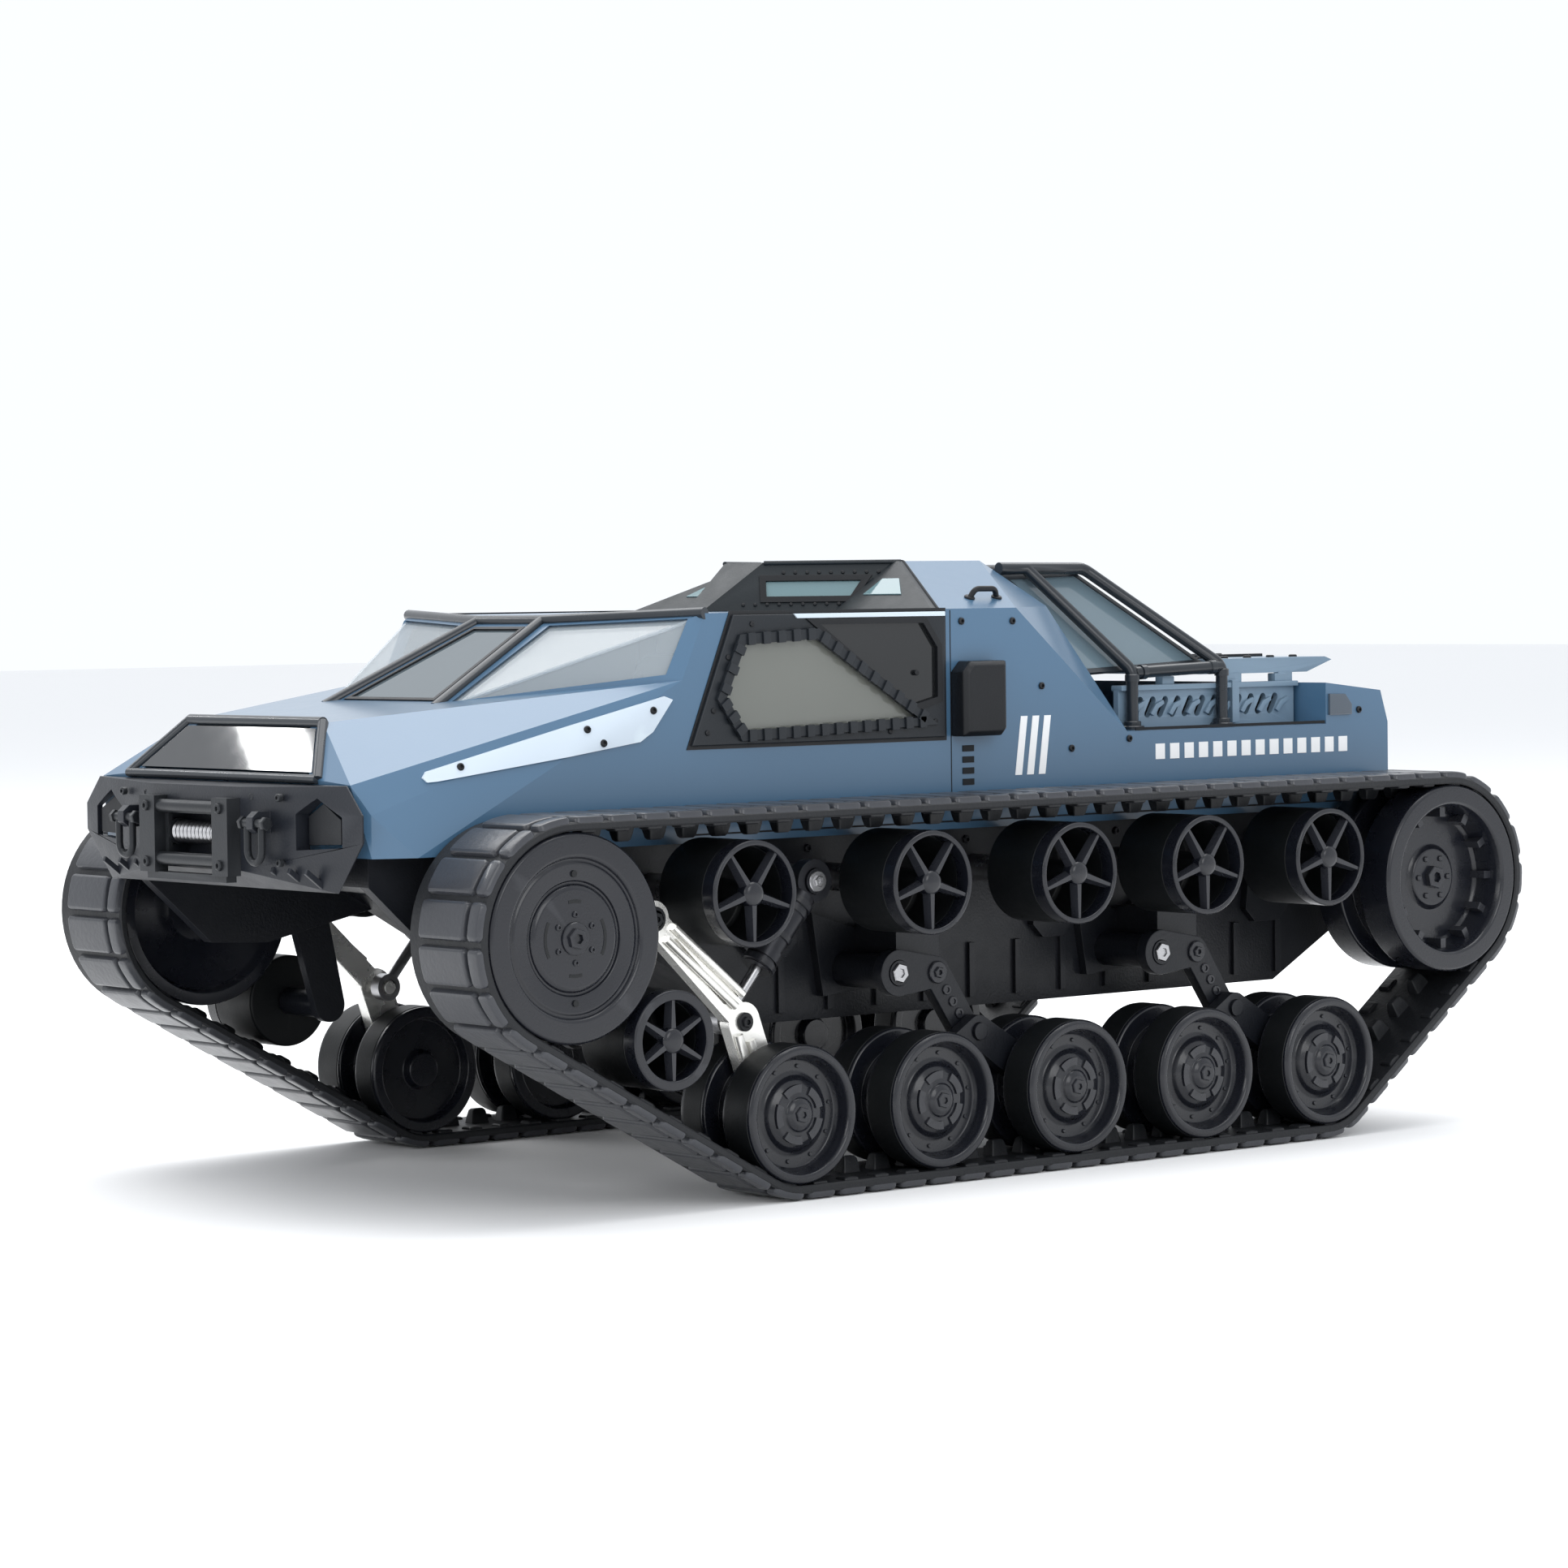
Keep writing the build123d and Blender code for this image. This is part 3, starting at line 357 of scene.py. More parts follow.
def pipe(bm, points, radius, sides=14, round_off=4.0, closed=False):
    """A round tube along a line of points with rounded bends."""
    pts = [Vector(p) for p in points]
    line = list(pts)
    if not closed and len(pts) > 2:
        line = [pts[0]]
        for p, q, s in zip(pts, pts[1:], pts[2:]):
            cut = min(round_off, (q - p).length * 0.45, (s - q).length * 0.45)
            a, b = q + (p - q).normalized() * cut, q + (s - q).normalized() * cut
            line += [a * (1 - t) ** 2 + q * 2 * t * (1 - t) + b * t * t for t in (0, 0.2, 0.4, 0.6, 0.8, 1)]
        line.append(pts[-1])
    count = len(line)
    up = None
    rings = []
    for i, p in enumerate(line):
        if closed:
            along = line[(i + 1) % count] - line[i - 1]
        else:
            along = line[min(i + 1, count - 1)] - line[max(i - 1, 0)]
        along.normalize()
        up = along.orthogonal().normalized() if up is None else (up - along * up.dot(along)).normalized()
        across = along.cross(up)
        rings.append([
            bm.verts.new(p + (up * math.cos(t) + across * math.sin(t)) * radius)
            for t in (2 * math.pi * k / sides for k in range(sides))
        ])
    pairs = list(zip(rings, rings[1:] + rings[:1])) if closed else list(zip(rings, rings[1:]))
    for a, b in pairs:
        for k in range(sides):
            m = (k + 1) % sides
            bm.faces.new((a[k], a[m], b[m], b[k]))
    if not closed:
        bm.faces.new(rings[0])
        bm.faces.new(rings[-1])


def arc_bar(bm, x0, x1, yz, r0, r1, start, end, steps=12):
    """A curved bar on a wheel face, from one angle to another in degrees."""
    y, z = yz
    sweep = [math.radians(start + (end - start) * k / steps) for k in range(steps + 1)]
    outline = [(y + r1 * math.cos(t), z + r1 * math.sin(t)) for t in sweep]
    outline += [(y + r0 * math.cos(t), z + r0 * math.sin(t)) for t in reversed(sweep)]
    prism(bm, outline, x0, x1)


# ---- tracks ----
# The wheels that carry the belt, as (y, z, radius of the belt's inner face).
LOOP = [(*FRONT_WHEEL, 28.0), (*DRIVE_WHEEL, 28.7), (ROAD_FIRST_Y + 4 * ROAD_PITCH, ROAD_Z, 19.2),
        (ROAD_FIRST_Y, ROAD_Z, 19.2)]
LINKS = 79


def loop_pieces():
    """The belt's inner line as straight runs and arcs, each a length, a kind and its geometry."""
    normals = []
    for i in range(4):
        (y1, z1, r1), (y2, z2, r2) = LOOP[i], LOOP[(i + 1) % 4]
        reach = math.hypot(y2 - y1, z2 - z1)
        along = math.atan2(z2 - z1, y2 - y1)
        normals.append(along + math.acos((r1 - r2) / reach))
    pieces = []
    for i in range(4):
        (y1, z1, r1), (y2, z2, r2) = LOOP[i], LOOP[(i + 1) % 4]
        a, b = normals[i], normals[(i + 1) % 4]
        start = (y1 + r1 * math.cos(a), z1 + r1 * math.sin(a))
        end = (y2 + r2 * math.cos(a), z2 + r2 * math.sin(a))
        pieces.append((math.dist(start, end), "run", start, end, a))
        turn = (a - b) % (2 * math.pi)
        pieces.append((r2 * turn, "arc", (y2, z2, r2), a, turn))
    return pieces


RUNS = loop_pieces()
LOOP_LENGTH = sum(p[0] for p in RUNS)


def on_loop(s, height):
    """The (y, z) point at a distance along the belt and a height out of its inner face."""
    s %= LOOP_LENGTH
    for length, kind, *data in RUNS:
        if s <= length:
            break
        s -= length
    if kind == "run":
        (y1, z1), (y2, z2), a = data
        t = s / length
        y, z = y1 + (y2 - y1) * t, z1 + (z2 - z1) * t
    else:
        (cy, cz, r), a, turn = data
        a -= turn * s / length
        y, z = cy + r * math.cos(a), cz + r * math.sin(a)
    return y + height * math.cos(a), max(0.0, z + height * math.sin(a))


def tile_levels(half_length, x0, x1, corner):
    """Stations along a rounded tile, each with its narrower or full span in X."""
    stations = []
    for t in (0, 30, 60, 90):
        r = math.radians(t)
        stations.append((-half_length + corner * (1 - math.cos(r)), corner * (1 - math.sin(r))))
    stations += [(-half_length * 0.3, 0.0)]
    stations += [(-s, inset) for s, inset in reversed(stations)]
    return [(s, x0 + inset, x1 - inset) for s, inset in stations]


def tile(bm, centre, half_length, x0, x1, heights, corner=1.5, draft=0.7):
    """A rounded tile that follows the belt, with a softened top edge."""
    levels = []
    for height, margin in heights:
        ring_left, ring_right = [], []
        rounding = max(0.2, corner - margin * draft)
        for s, a, b in tile_levels(half_length - margin, x0 + margin, x1 - margin, rounding):
            y, z = on_loop(centre + s, height)
            ring_left.append(bm.verts.new((a, y, z)))
            ring_right.append(bm.verts.new((b, y, z)))
        levels.append((ring_left, ring_right))
    for (l0, r0), (l1, r1) in zip(levels, levels[1:]):
        low, high = l0 + r0[::-1], l1 + r1[::-1]
        for k in range(len(low)):
            m = (k + 1) % len(low)
            bm.faces.new((low[k], low[m], high[m], high[k]))
    for left, right in (levels[0], levels[-1]):
        for k in range(len(left) - 1):
            bm.faces.new((left[k], left[k + 1], right[k + 1], right[k]))


PITCH = LOOP_LENGTH / LINKS
# Each tile's profile, as heights above the belt's inner face with the margin lost at that height.
GUIDE_TOOTH = [(0.4, 0.0), (-2.0, 0.4), (-3.9, 0.9), (-4.4, 1.4)]
INNER_RIB = [(0.4, 0.0), (-0.5, 0.2), (-0.8, 0.6)]
TREAD_PAD = [(2.0, 0.0), (3.0, 0.15), (3.55, 0.45), (3.8, 1.0)]
for name, side in SIDES.items():
    low_x, high_x = sorted((side * BELT_INNER_X, side * OUT_X))
    bm = bmesh.new()
    section = [(low_x, 0.5), (low_x, 1.8), (low_x + 0.5, 2.3), (high_x - 0.5, 2.3), (high_x, 1.8),
               (high_x, 0.5), (high_x - 0.5, 0.0), (low_x + 0.5, 0.0)]
    rings = []
    for k in range(LINKS * 4):
        spots = [(x, *on_loop(k * PITCH / 4, h)) for x, h in section]
        rings.append([bm.verts.new(p) for p in spots])
    for a, b in zip(rings, rings[1:] + rings[:1]):
        for k in range(len(section)):
            m = (k + 1) % len(section)
            bm.faces.new((a[k], a[m], b[m], b[k]))
    for k in range(LINKS):
        centre = (k + 0.5) * PITCH
        tile(bm, centre, 3.2, side * LUG_X - 2.3, side * LUG_X + 2.3, GUIDE_TOOTH, 0.6, 0.2)
        for start in (1.0, 26.5):
            tile(bm, centre, 2.6, low_x + start, low_x + start + 4.8, INNER_RIB, 0.6, 0.2)
    done(bm, f"track_belt_{name}.band", RUBBER, "hull", replaces=(f"track_belt_{name}",))
    bm = bmesh.new()
    for k in range(LINKS):
        centre = (k + 0.5) * PITCH
        for start, end in ((5.5, 26.0), (27.0, 32.2)):
            tile(bm, centre, PITCH / 2 - 0.6, low_x + start, low_x + end, TREAD_PAD)
    done(bm, f"track_belt_{name}.pads", PADS_PAINTED_SHEEN, "hull")


# ---- wheels ----
def wheel_tread(r, groove_r):
    """The tread of a wide wheel from its outer face to its inner face, with the lug groove."""
    return [
        (OUT_X, r - 0.8), (OUT_X - 0.8, r), (91.7, r), (91.2, r - 0.5), (91.2, groove_r), (83.4, groove_r),
        (83.4, r - 0.5), (82.9, r), (73.5, r), (INNER_X, r - 0.5),
    ]


def front_wheel(name, side):
    """The big idler: a dished disc with a hub and six screws; its curved slot marks are thin dark arcs,
    painted shade.
    """
    yz = FRONT_WHEEL
    body = f"front_wheel_{name}"
    bm = bmesh.new()
    lathe(bm, [
        (102.9, 0), (102.9, 13.0), (102.3, 13.9), (101.6, 14.2), (101.6, 14.9), (102.4, 15.2), (102.6, 19.6),
        (102.2, 20.2), (102.2, 20.8), (103.1, 21.2), (OUT_X, 21.8), *wheel_tread(27.7, 22.4),
        (INNER_X, 24.0), (76.0, 23.0), (79.0, 9.0), (79.0, 3.4),
    ], yz, side, 96)
    y, z = yz
    out = (side, 0, 0)
    stud(bm, (side * 102.9, y, z), out, 4.4, 0.7, 24)
    stud(bm, (side * 103.4, y, z), out, 2.9, 1.2, 6, hole=1.4)
    for k in range(6):
        t = math.radians(60 * k + 30)
        stud(bm, (side * 102.9, y + 6.3 * math.cos(t), z + 6.3 * math.sin(t)), out, 0.85, 0.6, 12, 0.2, 0.4)
    done(bm, f"{body}.disc", WHEEL, body, replaces=(body,))
    # Thin dark arcs and dots barely raised off the idler's face: painted shade standing in for recessed
    # curved slots.
    bm = bmesh.new()
    for centre in (0, 180):
        arc_bar(bm, side * 102.5, side * 103.0, yz, 9.3, 10.2, centre - 28, centre + 28)
    for t in (90, 270):
        a = math.radians(t)
        stud(bm, (side * 102.9, y + 16.9 * math.cos(a), z + 16.9 * math.sin(a)), out, 0.9, 0.08, 12, 0.02)
        arc_bar(bm, side * 102.5, side * 103.0, yz, 9.3, 10.2, t - 12, t + 12)
    done(bm, f"{body}.slot_shade", DRUM_AND_SLOT_SHADE, body)


def drive_wheel(name, side):
    """The big rear wheel: a deep dish with a hub and twelve teeth inside its rim."""
    yz = DRIVE_WHEEL
    body = f"drive_sprocket_{name}"
    bm = bmesh.new()
    lathe(bm, [
        (95.4, 0), (95.4, 8.6), (94.6, 9.2), (93.9, 10.0), (93.9, 19.4), (94.6, 20.4), (101.4, 21.8),
        (102.9, 22.4), (OUT_X, 23.0), *wheel_tread(28.4, 23.1), (INNER_X, 24.4), (76.0, 23.4),
        (79.0, 9.0), (79.0, 3.0), (60.0, 3.0), (60.0, 0),
    ], yz, side, 96)
    y, z = yz
    out = (side, 0, 0)
    stud(bm, (side * 95.4, y, z), out, 3.6, 1.8, 6, hole=1.7)
    for k in range(6):
        t = math.radians(60 * k)
        stud(bm, (side * 95.4, y + 6.4 * math.cos(t), z + 6.4 * math.sin(t)), out, 0.9, 0.7, 12)
    for k in range(12):
        t = math.radians(30 * k)
        tip = [(y + r * math.cos(t + w), z + r * math.sin(t + w)) for r, w in
               ((18.6, -0.06), (21.6, -0.05), (21.6, 0.05), (18.6, 0.06))]
        prism(bm, tip, side * 93.6, side * 99.5)
    done(bm, f"{body}.disc", WHEEL, body, replaces=(body,))


def road_wheel(name, side, index):
    """A road wheel: a stepped disc with a hub, and two tyres either side of the groove."""
    yz = (ROAD_FIRST_Y + ROAD_PITCH * (index - 1), ROAD_Z)
    body = f"road_wheel_{name}_{index}"
    bm = bmesh.new()
    lathe(bm, [
        (102.6, 0), (102.6, 3.2), (101.9, 4.4), (101.2, 4.8), (101.0, 7.6), (99.9, 9.4), (98.6, 10.4),
        (98.2, 11.6), (98.4, 14.6), (99.6, 15.4), (102.4, 15.9), (103.2, 16.3), (OUT_X, 16.8),
        *wheel_tread(18.9, 13.6), (INNER_X, 15.6), (76.5, 15.0), (76.5, 6.0), (74.0, 5.0), (74.0, 0),
    ], yz, side, 80)
    y, z = yz
    out = (side, 0, 0)
    stud(bm, (side * 102.6, y, z), out, 2.3, 0.7, 6, hole=1.0)
    for k in range(5):
        arc_bar(bm, side * 99.0, side * 101.6, yz, 6.0, 8.2, 72 * k + 12, 72 * k + 60, 6)
    for k in range(10):
        t = math.radians(36 * k + 10)
        stud(bm, (side * 98.3, y + 13.0 * math.cos(t), z + 13.0 * math.sin(t)), out, 0.6, 0.5, 10, 0.15)
    done(bm, f"{body}.disc", WHEEL, body, replaces=(body,))
    bm = bmesh.new()
    for x0, x1 in ((74.4, 82.4), (92.2, 102.2)):
        lathe(bm, [(x0, 18.7), (x0 + 0.3, 19.05), (x1 - 0.3, 19.05), (x1, 18.7)], yz, side, 80, 0.1)
    done(bm, f"{body}.tyre", DRUM_AND_SLOT_SHADE, body)


def spoked_wheel(body, side, yz, r, rim, hub, count, first):
    """A drum with an open spoked face: rim, tapered spokes and a domed hub."""
    y, z = yz
    bm = bmesh.new()
    lathe(bm, [
        (102.2, r - rim), (103.2, r - rim), (OUT_X, r - rim + 0.3), (OUT_X, r - 0.4), (103.1, r), (98.6, r),
        (98.6, r - 0.4), (98.6, r - rim), (102.2, r - rim),
    ], yz, side, 72, 0.2)
    dome = [(99.6, 0), (99.6, hub), (102.6, hub), (103.4, hub - 0.7), (103.7, hub - 1.5), (103.9, 0)]
    lathe(bm, dome, yz, side, 40)
    for k in range(count):
        t = math.radians(first + 360 * k / count)
        c, s = math.cos(t), math.sin(t)
        low, high = [], []
        for reach, width in ((hub - 0.6, 1.7), (r - rim + 0.5, 0.95)):
            for line, wide in ((low, width), (high, width * 0.45)):
                line.append([(y + reach * c - w * s, z + reach * s + w * c) for w in (-wide, wide)])
        base = [low[0][0], low[1][0], low[1][1], low[0][1]]
        crest = [high[0][0], high[1][0], high[1][1], high[0][1]]
        bridge(bm, [(side * 100.6, *p) for p in base], [(side * 102.9, *p) for p in crest])
    done(bm, f"{body}.spokes", WHEEL, body, replaces=(body,))
    bm = bmesh.new()
    lathe(bm, [
        (98.5, r - rim - 0.1), (98.5, r - 0.05), (80.0, r - 0.05), (79.5, r - 0.5), (79.5, hub), (80.2, hub),
        (82.0, hub + 1.0), (82.0, r - rim - 1.0), (83.0, r - rim - 0.1), (98.5, r - rim - 0.1),
    ], yz, side, 64)
    lathe(bm, [(82.0, hub + 0.9), (99.8, hub - 0.3), (99.8, 0)], yz, side, 32)
    done(bm, f"{body}.drum", DRUM_AND_SLOT_SHADE, body)


for name, side in SIDES.items():
    front_wheel(name, side)
    drive_wheel(name, side)
    spoked_wheel(f"tension_wheel_{name}", side, TENSION_WHEEL, 13.5, 2.8, 3.6, 6, 90)
    for i, y in enumerate(ROLLER_Y):
        road_wheel(name, side, i + 1)
        spoked_wheel(f"return_roller_{name}_{i + 1}", side, (y, ROLLER_Z), 14.5, 1.6, 3.5, 5, -90)


# ---- suspension ----
for name, side in SIDES.items():
    out = (side, 0, 0)
    refined(f"front_arm_{name}", ALLOY, 0.4)
    body = f"front_arm_{name}"
    bm = bmesh.new()
    for y, z, r in ((*ARM_PIVOT, 3.4), (*ARM_EYE, 2.6)):
        stud(bm, (side * 89.3, y, z), out, r, 1.0, 24, 0.3)
        stud(bm, (side * 90.2, y, z), out, r * 0.6, 0.9, 6, hole=0.8)
    done(bm, f"{body}.bolts", BLACK, body, 0.0)
    bm = bmesh.new()
    for start, end in (((-116.0, 72.0), (-92.5, 52.5)), ((-113.6, 75.2), (-90.0, 55.6))):
        pipe(bm, [(side * 90.0, *start), (side * 90.0, *end)], 1.15, 12)
    for a, b in (((-87.4, 43.0), (-83.6, 32.5)), ((-91.6, 44.6), (-86.6, 29.0))):
        pipe(bm, [(side * 89.9, *a), (side * 89.9, *b)], 1.3, 12)
    done(bm, f"{body}.rods", ALLOY, body)
    refined(f"damper_body_{name}", DAMPER, 0.3)
    refined(f"damper_rod_{name}", STEEL, 0.15)
    body = f"damper_body_{name}"
    bm = bmesh.new()
    top, low = Vector((side * 80.6, *DAMPER_TOP)), Vector((side * 80.6, *ARM_EYE))
    way = (low - top).normalized()
    for at, r, wide in ((7.5, 4.7, 1.4), (10.5, 4.55, 0.8), (19.0, 4.6, 1.2), (28.5, 5.0, 1.3)):
        stud(bm, top + way * at, way, r, wide, 28, 0.25)
    done(bm, f"{body}.bands", NYLON, body)
    bm = bmesh.new()
    stud(bm, (side * 83.0, *DAMPER_TOP), out, 3.0, 1.3, 24)
    stud(bm, (side * 84.2, *DAMPER_TOP), out, 1.7, 0.9, 6, hole=0.8)
    done(bm, f"damper_pin_{name}", STEEL, "hull")
    for place, pivot in SWING_PIVOT_Y.items():
        arm, beam = f"swing_arm_{name}_{place}", f"bogie_beam_{name}_{place}"
        refined(arm, NYLON, 0.5)
        refined(beam, NYLON, 0.5)
        bm = bmesh.new()
        stud(bm, (side * 84.6, pivot + 14.0, 56.8), out, 3.2, 0.8, 24)
        stud(bm, (side * 85.2, pivot + 14.0, 56.8), out, 1.7, 0.9, 6, hole=0.8)
        for at in (0.3, 0.5, 0.7):
            y, z = pivot + 14.0 + 11.6 * at, 56.8 - 17.2 * at
            stud(bm, (side * 84.6, y, z), out, 1.5, 0.5, 20, 0.15, hole=0.8)
        done(bm, f"{arm}.bolts", WHEEL, arm)
        bm = bmesh.new()
        stud(bm, (side * 84.8, pivot, 57.4), out, 2.9, 0.7, 6, hole=1.4)
        done(bm, f"pivot_cap_{name}_{place}", STEEL, "hull")

refined("suspension_brackets", NYLON, 0.4)
refined("axle_stubs", STEEL, 0.3)
refined("gear_motors", STEEL, 0.6)
refined("battery_pack", WRAP, 0.8)
refined("control_board", BOARD, 0.2)
refined("hull_tub", NYLON, 0.6)

bm = bmesh.new()
for side in SIDES.values():
    for y in range(-52, 150, 18):
        prism(bm, [(y, 46), (y, 62), (y + 2.2, 62), (y + 2.2, 46)], side * HULL_X, side * 59.2)
    for y in range(-80, 180, 20):
        stud(bm, (side * 58.0, y, 92.0), (side, 0, 0), 1.3, 0.9, 6, hole=0.6)
    for y0, y1 in ((-66, -46), (-8, 8), (44, 60), (92, 112), (132, 150)):
        boss = [(y0, 66), (y0 + 3, 90), (y1 - 3, 90), (y1, 66), (y1 - 4, 62), (y0 + 4, 62)]
        prism(bm, boss, side * HULL_X, side * 60.5)
for x in (-40, 0, 40):
    for y in (-50, 0, 50, 100, 140):
        stud(bm, (x, y, 43.5), (0, 0, -1), 1.6, 0.9, 6, hole=0.7)
for x in (-45, -22, 0, 22, 45):
    prism(bm, [(-56, 42.6), (-56, 44), (144, 44), (144, 42.6)], x - 1.2, x + 1.2)
done(bm, "hull_tub.ribs", NYLON, "hull", 0.3)


# ---- body shell ----
COWL, HEADER = (26.6, -145.7, 133.8), (15.1, -100.1, 157.0)
POST_TOP, POST_WINDOW = (HALF, -85.6, 158.8), (HALF, -93.8, 140.6)
HOOD_LOW, HOOD_HIGH = (46.5, -197.7, 116.4), (32.6, -186.3, 131.0)
NOSE_CORNER, NOSE_TIP, SKIRT_FRONT = (61.0, -197.3, 115.3), (65.0, -193.6, 107.4), (HALF, -182.5, 96.0)


def sided(points, side):
    """Points given for the left, put on a side."""
    return [(side * x, y, z) for x, y, z in points]


def flip(point):
    """The same point on the other side."""
    return sided([point], -1)[0]


WINDSCREEN = [flip(COWL), COWL, HEADER, flip(HEADER)]
# Each side screen is folded along the line from the cowl to the top of the door post.
SIDE_FACETS = ([COWL, POST_WINDOW, POST_TOP], [COWL, POST_TOP, HEADER])
HOOD_WINDOW = [flip(HOOD_LOW), HOOD_LOW, HOOD_HIGH, flip(HOOD_HIGH)]

refined("body_shell", PAINT, 0.5, 12.0)


def strip(bm, points, width, lift, thickness=0.5, normal=None):
    """A thin flat strip along a line of points lying on a facet."""
    n = Vector(normal)
    pts = [Vector(p) for p in points]
    left, right = [], []
    for i, p in enumerate(pts):
        along = (pts[min(i + 1, len(pts) - 1)] - pts[max(i - 1, 0)]).normalized()
        across = n.cross(along).normalized() * width / 2
        left.append(p + across)
        right.append(p - across)
    loop = left + right[::-1]
    bridge(bm, [p + n * (lift - thickness) for p in loop], [p + n * lift for p in loop])


# Dark tube frames round the windscreen, the side screens and the hood glass.
bm = bmesh.new()
for side in SIDES.values():
    pipe(bm, sided([COWL, HEADER], side), 1.7)
    pipe(bm, sided([HEADER, POST_TOP], side), 1.7)
    pipe(bm, sided([HOOD_LOW, HOOD_HIGH], side), 1.5)
pipe(bm, [HEADER, flip(HEADER)], 1.7)
pipe(bm, [HOOD_HIGH, flip(HOOD_HIGH)], 1.6)
pipe(bm, [(46.5, -197.9, 116.6), (-46.5, -197.9, 116.6)], 1.3)
done(bm, "window_frames", CAGE, "hull", smooth=50)

bm = bmesh.new()
ring(bm, drawn(WINDSCREEN, 3.9), drawn(WINDSCREEN, 5.3), 0.9, 0.4)
done(bm, "window_gaskets", BLACK, "hull", 0.1)


def flank_x(y, z):
    """How far out the nose flank's facets stand at a height and a place along the vehicle."""
    facets = ((NOSE_CORNER, NOSE_TIP, POST_WINDOW), (NOSE_TIP, SKIRT_FRONT, POST_WINDOW))
    reach = [HALF]
    for facet in facets:
        a, b, c = (Vector(p) for p in facet)
        n = (b - a).cross(c - a)
        reach.append(a.x + (n.y * (a.y - y) + n.z * (a.z - z)) / n.x)
    return min(reach)


def draped(bm, outline, side, lift, thickness, cell=3.0):
    """A plate laid over the flank's facets from its (y, z) outline."""
    flat = bmesh.new()
    face(flat, [(0, y, z) for y, z in outline])
    for axis, low, high in ((1, -190, -80), (2, 100, 150)):
        at = low
        while at < high:
            co = [0, 0, 0]
            co[axis] = at
            no = [0, 0, 0]
            no[axis] = 1
            bmesh.ops.bisect_plane(flat, geom=flat.verts[:] + flat.edges[:] + flat.faces[:],
                                   plane_co=co, plane_no=no)
            at += cell
    corner = {}
    for v in flat.verts:
        x = flank_x(v.co.y, v.co.z)
        corner[v] = (bm.verts.new((side * (x + lift), v.co.y, v.co.z)),
                     bm.verts.new((side * (x + lift - thickness), v.co.y, v.co.z)))
    for f in flat.faces:
        bm.faces.new([corner[v][0] for v in f.verts])
        bm.faces.new([corner[v][1] for v in reversed(f.verts)])
    for e in flat.edges:
        if len(e.link_faces) == 1:
            a, b = e.verts
            bm.faces.new((corner[a][0], corner[b][0], corner[b][1], corner[a][1]))
    flat.free()


PLATE = [(-177.0, 116.6), (-175.6, 118.2), (-131.0, 129.2), (-100.5, 136.4), (-97.6, 135.4), (-104.6, 126.8),
         (-109.0, 124.2), (-134.0, 120.8), (-173.0, 115.6), (-176.0, 115.4)]
# Pale armour plates, screws, seams, plain marks and the shoulder handles along the sides.
for name, side in SIDES.items():
    out = (side, 0, 0)
    bm = bmesh.new()
    draped(bm, PLATE, side, 0.7, 1.2)
    done(bm, f"armour_plate_{name}", PALE, "hull", 0.25, 20)
    bm = bmesh.new()
    for y, z in ((-165.6, 119.2), (-126.2, 128.0), (-121.6, 124.2), (-104.5, 132.6)):
        stud(bm, (side * (flank_x(y, z) + 0.6), y, z), (side, -0.15, 0.25), 1.05, 0.7, 12, 0.25, hole=0.5)
    for y, z in ((8.2, 155.4), (28.0, 155.2), (39.2, 136.2), (50.9, 117.7), (74.2, 119.9), (172.0, 126.0),
                 (160.5, 126.5)):
        stud(bm, (side * HALF, y, z), out, 1.05, 0.7, 12, 0.25, hole=0.5)
    done(bm, f"side_screws_{name}", BLACK, "hull")
    bm = bmesh.new()
    strip(bm, [(side * HALF, 4.0, 158.6), (side * HALF, 4.0, 100.0)], 0.35, 0.05, normal=out)
    strip(bm, [(side * HALF, 77.0, 122.6), (side * HALF, 157.0, 122.6)], 0.9, 0.15, normal=out)
    strip(bm, [(side * HALF, -96.0, 98.2), (side * HALF, 184.0, 98.2)], 0.5, 0.05, normal=out)
    done(bm, f"side_seams_{name}", SEAM_AND_SHADE, "hull")
    # A moulded recess and plain painted marks stand where a vehicle would carry its markings.
    bm = bmesh.new()
    for z0, z1 in ((108.4, 110.2), (111.6, 113.4), (114.8, 116.6), (118.0, 119.8)):
        prism(bm, [(8.2, z0), (8.2, z1), (12.6, z1), (12.6, z0)], side * (HALF - 0.3), side * (HALF + 0.25))
    done(bm, f"side_recess_{name}", SEAM_AND_SHADE, "hull", 0.1)
    bm = bmesh.new()
    for k in range(3):
        y = 28.6 + 4.6 * k
        bar = [(y, 110.6), (y + 2.4, 127.6), (y + 5.0, 127.6), (y + 2.6, 110.6)]
        prism(bm, bar, side * (HALF - 0.2), side * (HALF + 0.12))
    for k in range(14):
        y = 85.0 + 6.0 * k
        dash = [(y, 113.4), (y, 118.0), (y + 3.8, 118.0), (y + 3.8, 113.4)]
        prism(bm, dash, side * (HALF - 0.2), side * (HALF + 0.12))
    done(bm, f"side_marks_{name}", MARK, "hull")
    bm = bmesh.new()
    n = Vector((side * 0.352, 0, 0.936))
    foot = [Vector((side * 62.4, y, 161.8)) for y in (18.5, 29.0)]
    top = [p + n * 3.0 + Vector((0, d, 0)) for p, d in zip(foot, (1.4, -1.4))]
    pipe(bm, [foot[0], top[0], top[1], foot[1]], 0.85, 12, 1.6)
    for p in foot:
        stud(bm, p, n, 1.6, 0.8, 16)
    done(bm, f"shoulder_handle_{name}", BLACK, "hull")

# The seam between the roof module's sloping panel and the shoulder behind it.
bm = bmesh.new()
seam = [(HALF - 0.3, -0.2, 159.0), (33.1, 18.9, 173.0)]
pipe(bm, seam + [flip(p) for p in reversed(seam)], 0.4, 8, 1.0)
done(bm, "roof_seam", SEAM_AND_SHADE, "hull")

